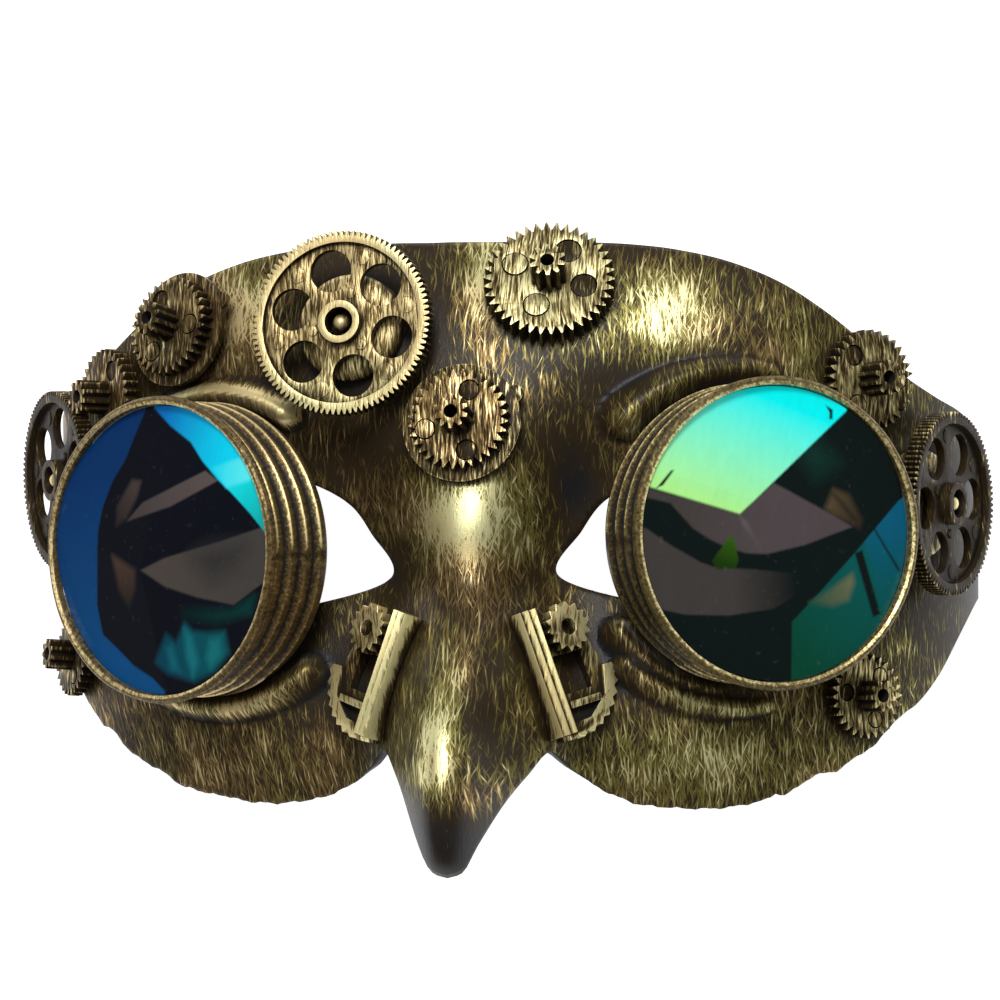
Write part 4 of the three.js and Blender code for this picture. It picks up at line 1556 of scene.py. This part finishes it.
@dataclass
class Wheel:
    """A large wheel with fine teeth, six holes and a hub tube, on a domed mount with a ball pin."""

    name: str
    finishes: Finishes
    spin: float
    gold: float = 0.8
    rim_gold: float = 0.15
    wall_gold: float = 0.1
    tone: float = 0.0
    teeth: int = 96
    tip: float = 16.0
    root: float = 15.1
    crest: float = 0.3
    rim: float = 14.0
    rim_height: float = 3.0
    rim_steps: int = 96
    rim_margin: float = 0.2
    web_foot: float = 0.4
    web_top: float = 1.9
    web_overlap: float = 0.3
    proud_by: float = 0.3
    holes: int = 6
    hole_radius: float = 3.7
    hole_ring: float = 9.4
    hole_steps: int = 40
    hub: float = 3.7
    hub_steps: int = 48
    bore: float = 2.5
    hub_top: float = 3.8
    hub_drop: float = 0.5
    studs: tuple[Studs, ...] = (Studs(6, 11.9, 1.35, 0.28), Studs(3, 5.3, 0.85, 0.45))
    stud_angle: float = 30.0
    stud_sunk: float = 0.1
    stud_steps: int = 20
    round_over: float = 0.14
    dome_radius: float = 9.4
    dome_drop: float = 3.3
    dome_foot: float = -2.1
    dome_turn: float = 1.35
    dome_power: float = 0.6
    dome_points: int = 12
    dome_gold: float = 0.66
    crown: float = 2.75
    crown_sunk: float = 0.2
    pin: float = 1.1
    pin_foot: float = 2.7
    pin_top: float = 4.6
    ball: float = 1.5
    ball_height: float = 5.4
    ball_arc: Span = (-0.72, 1.5)
    ball_points: int = 10
    ball_from: float = 3.5
    ball_gold: float = 0.5

    def build(self) -> None:
        """Builds the wheel and the mount under it."""
        seat = Seat.of(f"{self.name}_wheel", self.web_foot)
        turn = Matrix.Rotation(math.radians(self.spin), 4, "Z")
        self.wheel(seat, seat.matrix @ turn)
        self.mount(seat)

    def spots(self, count: int, radius: float, first: float) -> list[tuple[float, float]]:
        """Evenly spaced points on a circle, the first at an angle in degrees."""
        angles = [math.radians(first + 360 / count * k) for k in range(count)]
        return [(radius * math.cos(a), radius * math.sin(a)) for a in angles]

    def wheel(self, seat: Seat, place: Matrix) -> None:
        """Builds the wheel itself.

        Args:
            seat: Where the wheel sits.
            place: The same place with the wheel's spin.
        """
        bm = bmesh.new()
        outer = toothed_ring(bm, self.teeth, self.tip, self.root, 0.0, self.crest)
        prism(bm, [outer, ring(bm, self.rim, self.rim_steps)], self.rim_height)
        web = [ring(bm, self.rim + self.web_overlap, self.rim_steps, z=self.web_foot)]
        for x, y in self.spots(self.holes, self.hole_ring, 0.0):
            web.append(ring(bm, self.hole_radius, self.hole_steps, x, y, self.web_foot))
        web.append(ring(bm, self.bore, self.hole_steps, z=self.web_foot))
        prism(bm, web, self.web_top - self.web_foot)
        outside = ring(bm, self.hub, self.hub_steps, z=-self.hub_drop)
        inside = ring(bm, self.bore, self.hole_steps, z=-self.hub_drop)
        prism(bm, [outside, inside], self.hub_top + self.hub_drop)
        for stud in self.studs:
            for x, y in self.spots(stud.count, stud.ring, self.stud_angle):
                foot = self.web_top - self.stud_sunk
                prism(bm, [ring(bm, stud.radius, self.stud_steps, x, y, foot)], stud.rise)
        soften(bm, self.round_over)
        node = f"{self.name}_wheel"
        piece = Piece(f"{self.name}_wheel_fine", Slot.GEAR, (node,), (self.finishes.gear,), tone=self.tone)
        obj = piece.finish(bm, place)
        gold = gild_by_axis(obj, seat.axis, self.gold, self.wall_gold)
        middles = places_in(obj, place)
        away = np.hypot(middles[:, 0], middles[:, 1])
        high = middles[:, 2] > self.web_top + self.proud_by
        proud = high & ((away > self.rim - self.rim_margin) | (away < self.hub))
        gold += np.where(proud, self.rim_gold, 0.0)
        set_numbers(obj.data, GILT_AND_PAINTED_LIGHT, "FACE", gold)

    def mount(self, seat: Seat) -> None:
        """Builds the dome with its ball pin.

        Args:
            seat: Where the wheel over it sits.
        """
        bm = bmesh.new()
        profile = [(AXIS_GAP, self.dome_foot), (self.dome_radius, self.dome_foot)]
        for t in np.linspace(0.0, self.dome_turn, self.dome_points):
            rise = self.crown * math.sin(t) ** self.dome_power - self.crown_sunk
            profile.append((self.dome_radius * math.cos(t) ** self.dome_power, rise))
        profile += [(self.pin, self.pin_foot), (self.pin, self.pin_top)]
        for t in np.linspace(*self.ball_arc, self.ball_points):
            profile.append((self.ball * math.cos(t), self.ball_height + self.ball * math.sin(t)))
        profile.append((AXIS_GAP, self.ball_height + self.ball))
        turned(bm, profile, self.hub_steps)
        bmesh.ops.recalc_face_normals(bm, faces=bm.faces)
        node = f"{self.name}_boss"
        place = seat.matrix @ Matrix.Translation((0, 0, -self.dome_drop))
        obj = Piece(f"{self.name}_domed_mount", Slot.GEAR, (node,), (self.finishes.gear,)).finish(bm, place)
        gold = gild_by_axis(obj, seat.axis, self.dome_gold, self.wall_gold)
        gold += np.where(places_in(obj, place)[:, 2] > self.ball_from, self.ball_gold, 0.0)
        set_numbers(obj.data, GILT_AND_PAINTED_LIGHT, "FACE", gold)


class GearSize(NamedTuple):
    """Sizes of a gear and of the tall pinion on it."""

    teeth: int
    tip: float
    root: float
    height: float
    leaves: int
    leaf_tip: float
    leaf_root: float
    tall: float
    coin: float


class GearKind(Enum):
    """The sizes that the gears come in."""

    TOP = GearSize(38, 11.3, 9.8, 3.6, 10, 3.1, 2.0, 5.8, 2.1)
    SMALL = GearSize(32, 8.7, 7.4, 2.4, 10, 3.0, 2.0, 5.4, 1.6)
    CHEEK = GearSize(28, 7.3, 6.1, 2.2, 9, 2.7, 1.8, 4.6, 1.3)


@dataclass
class Gear:
    """A pointed-tooth gear with coin bosses and a tall pinion, on its own backing plate or post."""

    name: str
    kind: GearKind
    finishes: Finishes
    spin: float
    coins: tuple[tuple[float, float, float], ...]
    plate: bool = False
    tone: float = 0.0
    crest: float = 0.12
    leaf_crest: float = 0.3
    coin_gap: float = 0.26
    coin_foot: float = 0.1
    coin_floor: float = 0.4
    coin_margin: float = 0.1
    coin_steps: int = 32
    overlap: float = 0.2
    sunk_gold: float = 0.22
    bore: float = 1.2
    bore_steps: int = 24
    post: float = 3.5
    post_depth: float = 2.2
    round_over: float = 0.11
    gold: float = 0.86
    wall_gold: float = 0.06
    plate_radius: float = 10.3
    plate_height: float = 1.2
    plate_gap: float = 0.3
    plate_post: float = 4.0
    plate_steps: int = 72
    plate_round: float = 0.3
    plate_gold: float = 0.4
    plate_wall_gold: float = 0.1
    lug: float = 1.5
    lug_angle: float = 29.0
    lug_step: float = 0.15

    def build(self) -> None:
        """Builds the gear and, where it has one, the plate under it."""
        seat = Seat.of(f"{self.name}_gear")
        size = self.kind.value
        bm = bmesh.new()
        spots = [self.coin_spot(angle, radius) for angle, radius, _ in self.coins]
        holes = [ring(bm, size.coin + self.coin_gap, self.coin_steps, x, y) for x, y in spots]
        outer = toothed_ring(bm, size.teeth, size.tip, size.root, 0.0, self.crest)
        prism(bm, [outer, *holes], size.height)
        for (x, y), (_, _, rise) in zip(spots, self.coins):
            floor = ring(bm, size.coin + 2 * self.coin_gap, self.coin_steps, x, y, self.coin_foot)
            prism(bm, [floor], self.coin_floor)
            coin = ring(bm, size.coin, self.coin_steps, x, y, self.overlap)
            prism(bm, [coin], size.height + rise - self.overlap)
        foot = size.height - self.overlap
        leaf = toothed_ring(bm, size.leaves, size.leaf_tip, size.leaf_root, foot, self.leaf_crest)
        prism(bm, [leaf, ring(bm, self.bore, self.bore_steps, z=foot)], size.tall + self.overlap)
        if not self.plate:
            post = ring(bm, self.post, self.coin_steps, z=-self.post_depth)
            prism(bm, [post], self.post_depth + self.overlap)
        soften(bm, self.round_over)
        place = seat.matrix @ Matrix.Rotation(math.radians(self.spin), 4, "Z")
        node = f"{self.name}_gear"
        piece = Piece(f"{self.name}_gear_fine", Slot.GEAR, (node,), (self.finishes.gear,), tone=self.tone)
        obj = piece.finish(bm, place)
        gold = gild_by_axis(obj, seat.axis, self.gold, self.wall_gold)
        middles = places_in(obj, place)
        for (x, y), (_, _, rise) in zip(spots, self.coins):
            on_coin = np.hypot(middles[:, 0] - x, middles[:, 1] - y) < size.coin + self.coin_margin
            gold = np.where(on_coin & (rise < 0), np.minimum(gold, self.sunk_gold), gold)
        set_numbers(obj.data, GILT_AND_PAINTED_LIGHT, "FACE", gold)
        if self.plate:
            self.back_plate(seat)

    def coin_spot(self, angle: float, radius: float) -> tuple[float, float]:
        """Where a coin boss lies on the gear before the gear is spun."""
        turn = math.radians(angle - self.spin)
        return radius * math.cos(turn), radius * math.sin(turn)

    def back_plate(self, seat: Seat) -> None:
        """Builds the round plate with its lug.

        Args:
            seat: Where the gear over it sits.
        """
        bm = bmesh.new()
        foot = -self.plate_height - self.plate_gap
        prism(bm, [ring(bm, self.plate_radius, self.plate_steps, z=foot)], self.plate_height)
        angle = math.radians(self.lug_angle)
        x, y = self.plate_radius * math.cos(angle), self.plate_radius * math.sin(angle)
        prism(bm, [ring(bm, self.lug, self.bore_steps, x, y, foot)], self.plate_height - self.lug_step)
        post = ring(bm, self.plate_post, self.coin_steps, z=foot - self.post_depth)
        prism(bm, [post], self.post_depth + self.overlap)
        soften(bm, self.plate_round)
        node = f"{self.name}_plate"
        piece = Piece(f"{self.name}_plate_round", Slot.SHELL, (node,), (self.finishes.gear,))
        obj = piece.finish(bm, seat.matrix)
        gold = gild_by_axis(obj, seat.axis, self.plate_gold, self.plate_wall_gold)
        set_numbers(obj.data, GILT_AND_PAINTED_LIGHT, "FACE", gold)


@dataclass
class NoseBracket:
    """The ridged bar, window and knurled edge beside the beak, with the small cog on it."""

    side: Side
    finishes: Finishes
    x: float = 16.5
    y: float = -22.2
    turn: float = 38.0
    rise: float = 13.0
    lean: float = 14.0
    lift: float = 2.0
    bar_edge: float = -3.2
    groove: float = 2.5
    crest: float = 3.3
    knurl_middle: tuple[float, float] = (-2.6, -1.0)
    knurl_inner: float = 8.7
    knurl_gold: float = 0.8
    knurl_floor: float = 1.0
    bar_gold: float = 0.35
    bar_floor: float = 1.5
    ridge_gold: float = 1.6
    bracket_gold: float = 0.5
    cog_gold: float = 0.62
    wall_gold: float = 0.1
    round_over: float = 0.14
    weld: float = 1e-6
    flat_angle: float = 1.0

    def frame(self) -> Matrix:
        """The bracket's own frame in the part, in millimetres.

        Returns:
            The frame.
        """
        sign = self.side.value
        turn = Matrix.Rotation(math.radians(sign * self.turn), 4, "Y")
        rise = Matrix.Rotation(math.radians(-self.rise), 4, "X")
        lean = Matrix.Rotation(math.radians(sign * self.lean), 4, "Z")
        x = sign * self.x
        z = float(FACE.height(np.array([x]), np.array([self.y]))[0])
        place = Matrix.Translation(MASK_SHIFT + Vector((x, self.y, z + self.lift)))
        return place @ turn @ rise @ lean

    def copy_of(self, node: str) -> BMesh:
        """A merged copy of a node's solid, in millimetres.

        Args:
            node: The CAD node.

        Returns:
            The copy.
        """
        bm = bmesh.new()
        bm.from_mesh(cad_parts[node].data)
        bmesh.ops.remove_doubles(bm, verts=bm.verts, dist=self.weld)
        bmesh.ops.scale(bm, vec=(1 / MM,) * 3, verts=bm.verts)
        bmesh.ops.dissolve_limit(
            bm,
            angle_limit=math.radians(self.flat_angle),
            use_dissolve_boundaries=False,
            verts=bm.verts,
            edges=bm.edges,
        )
        return bm

    def gild(self, obj: bpy.types.Object, top: float) -> None:
        """Polishes the bar's ridges and the knurled edge, and leaves the rest of the bracket darker.

        Args:
            obj: The bracket or its cog.
            top: Gold on what looks up from the bracket.
        """
        inward = self.frame().inverted()
        spots = np.array([inward @ (v.co / MM) for v in obj.data.vertices])
        ways = np.array([inward.to_3x3() @ v.normal for v in obj.data.vertices])
        amount = self.wall_gold + (top - self.wall_gold) * np.clip(ways[:, 2], 0.0, 1.0)
        out = spots[:, 0] * self.side.value
        ridge = np.clip((spots[:, 2] - self.groove) / (self.crest - self.groove), 0.0, 1.0)
        barred = (out < self.bar_edge) & (spots[:, 2] > self.bar_floor)
        amount = np.where(barred, self.ridge_gold * ridge + self.bar_gold, amount)
        away = np.hypot(out - self.knurl_middle[0], spots[:, 1] - self.knurl_middle[1])
        knurled = (away > self.knurl_inner) & (out > self.bar_edge) & (spots[:, 2] > self.knurl_floor)
        amount = np.where(knurled, self.knurl_gold, amount)
        set_numbers(obj.data, GILT_AND_PAINTED_LIGHT, "POINT", amount)

    def build(self) -> None:
        """Builds the bracket and its cog."""
        for part, top in (("bracket", self.bracket_gold), ("cog", self.cog_gold)):
            node = f"{self.side.word}_nose_{part}"
            bm = self.copy_of(node)
            soften(bm, self.round_over)
            piece = Piece(f"{node}_cast", Slot.GEAR, (node,), (self.finishes.gear,))
            self.gild(piece.finish(bm, Matrix.Identity(4)), top)


class Lamp(NamedTuple):
    """A soft box: its name, its place and width in metres, and its strength in watts."""

    name: str
    place: tuple[float, float, float]
    size: float
    power: float


@dataclass
class Studio:
    """Camera, lights and floor."""

    target: Vector = field(default_factory=lambda: Vector((0.0, 0.0, 0.053)))
    distance: float = 0.7
    azimuth: float = 8.7
    roll: float = 0.6
    pixels_a_mm: float = 5.82
    image: int = 1000
    target_pixel: tuple[float, float] = (471.0, 542.0)
    sensor: float = 36.0
    clip: Span = (0.01, 50.0)
    floor_size: float = 8.0
    floor_colour: Colour = (0.6, 0.6, 0.6)
    floor_rough: float = 0.9
    floor_glow: float = 0.95
    sky: Colour = (1.0, 0.98, 0.95)
    sky_strength: float = 0.22
    lamps: tuple[Lamp, ...] = (
        Lamp("key", (0.05, 0.53, 0.78), 0.3, 5.9),
        Lamp("front", (-0.1, 0.1, 1.0), 0.5, 1.0),
    )

    def camera(self) -> None:
        """Sets the camera over the face, a little to its right."""
        data = bpy.data.cameras.new("camera")
        data.sensor_width = self.sensor
        focal = self.pixels_a_mm * self.distance / MM
        data.lens = focal * self.sensor / self.image
        data.shift_x = 0.5 - self.target_pixel[0] / self.image
        data.shift_y = self.target_pixel[1] / self.image - 0.5
        data.clip_start, data.clip_end = self.clip
        obj = put_in_scene("camera", data)
        turn = Matrix.Rotation(math.radians(self.azimuth), 4, "Y")
        spin = Matrix.Rotation(math.radians(-self.roll), 4, "Z")
        back = Matrix.Translation((0, 0, self.distance))
        obj.matrix_world = Matrix.Translation(self.target) @ turn @ back @ spin
        bpy.context.scene.camera = obj

    def light(self, lamp: Lamp) -> None:
        """Hangs a soft box that looks at the mask.

        Args:
            lamp: The soft box.
        """
        data = bpy.data.lights.new(lamp.name, "AREA")
        data.energy = lamp.power
        data.shape = "RECTANGLE"
        data.size = lamp.size
        data.size_y = lamp.size
        obj = put_in_scene(lamp.name, data)
        obj.location = lamp.place
        look = self.target - Vector(lamp.place)
        obj.rotation_euler = look.to_track_quat("-Z", "Y").to_euler()

    def floor(self) -> None:
        """Lays a plain pale floor that glows a little, so that no hard shadow falls on it."""
        tree = NodeTree("pale_floor")
        pale = tree.principled(
            {
                "Base Color": (*self.floor_colour, 1.0),
                "Roughness": self.floor_rough,
                "Emission Color": (1.0, 1.0, 1.0, 1.0),
                "Emission Strength": self.floor_glow,
            }
        )
        bm = bmesh.new()
        bmesh.ops.create_grid(bm, x_segments=1, y_segments=1, size=self.floor_size / 2)
        mesh = bpy.data.meshes.new("floor")
        bm.to_mesh(mesh)
        bm.free()
        mesh.materials.append(pale)
        obj = put_in_scene("floor", mesh)

    def build(self) -> None:
        """Builds the studio."""
        self.camera()
        self.floor()
        for lamp in self.lamps:
            self.light(lamp)
        world = bpy.data.worlds.new("studio")
        world.use_nodes = True
        background = world.node_tree.nodes["Background"]
        background.inputs["Color"].default_value = (*self.sky, 1.0)
        background.inputs["Strength"].default_value = self.sky_strength
        bpy.context.scene.world = world
        bpy.context.scene.view_settings.view_transform = "Standard"


def assembly(finishes: Finishes) -> list[Shell | Goggle | Lens | Wheel | Gear | NoseBracket]:
    """The mask's sub-assemblies, in the order that they are put on.

    Args:
        finishes: The shared materials.

    Returns:
        The sub-assemblies.
    """
    return [
        Shell(finishes),
        Goggle(Side.LEFT, finishes),
        # The right barrel takes less gold than the left: painted shade on the right goggle.
        Goggle(Side.RIGHT, finishes, barrel_gold=0.72),
        Lens(Side.LEFT, finishes, LEFT_PANES, (0.003, 0.004, 0.009)),
        Lens(Side.RIGHT, finishes, RIGHT_PANES, NIGHT),
        Wheel("brow", finishes, 44.0, gold=0.6, rim_gold=0.34),
        Wheel("left_temple", finishes, 20.0, gold=0.06),
        Wheel("right_temple", finishes, 5.0, gold=0.04),
        Gear("top", GearKind.TOP, finishes, 3.0,
             ((154, 6.5, 0.15), (59, 6.3, -0.15), (-15, 6.2, -0.15), (-111, 5.8, 0.15)), gold=0.6, tone=-0.3),
        Gear("centre", GearKind.SMALL, finishes, 2.0,
             ((71, 5.3, -0.15), (-163, 5.9, 0.15), (-73, 5.7, -0.15)), plate=True, gold=0.55, tone=0.3),
        Gear("left_brow", GearKind.SMALL, finishes, 4.0,
             ((0, 5.2, 0.1), (120, 5.4, -0.3), (240, 5.4, 0.1)), plate=True, gold=0.47),
        Gear("left_temple", GearKind.SMALL, finishes, 1.0,
             ((60, 5.4, -0.3), (180, 5.4, 0.1), (300, 5.4, 0.1)), gold=0.42),
        Gear("left_cheek", GearKind.CHEEK, finishes, 5.0,
             ((60, 4.3, 0.1), (180, 4.3, -0.3), (300, 4.3, 0.1)), gold=0.45),
        Gear("right_brow", GearKind.SMALL, finishes, 2.0,
             ((0, 5.4, 0.1), (130, 5.4, -0.3), (235, 5.4, 0.1)), gold=0.46),
        Gear("right_cheek", GearKind.CHEEK, finishes, 6.0,
             ((50, 4.4, 0.1), (170, 4.3, -0.3), (290, 4.3, 0.1)), gold=0.54),
        NoseBracket(Side.LEFT, finishes, bar_gold=0.5),
        NoseBracket(Side.RIGHT, finishes),
    ]


def main() -> None:
    """Builds the studio and the mask."""
    logging.basicConfig(level=logging.INFO, format="%(name)s: %(message)s")
    Studio().build()
    for part in assembly(Finishes()):
        part.build()


if __name__ == "__main__":
    main()
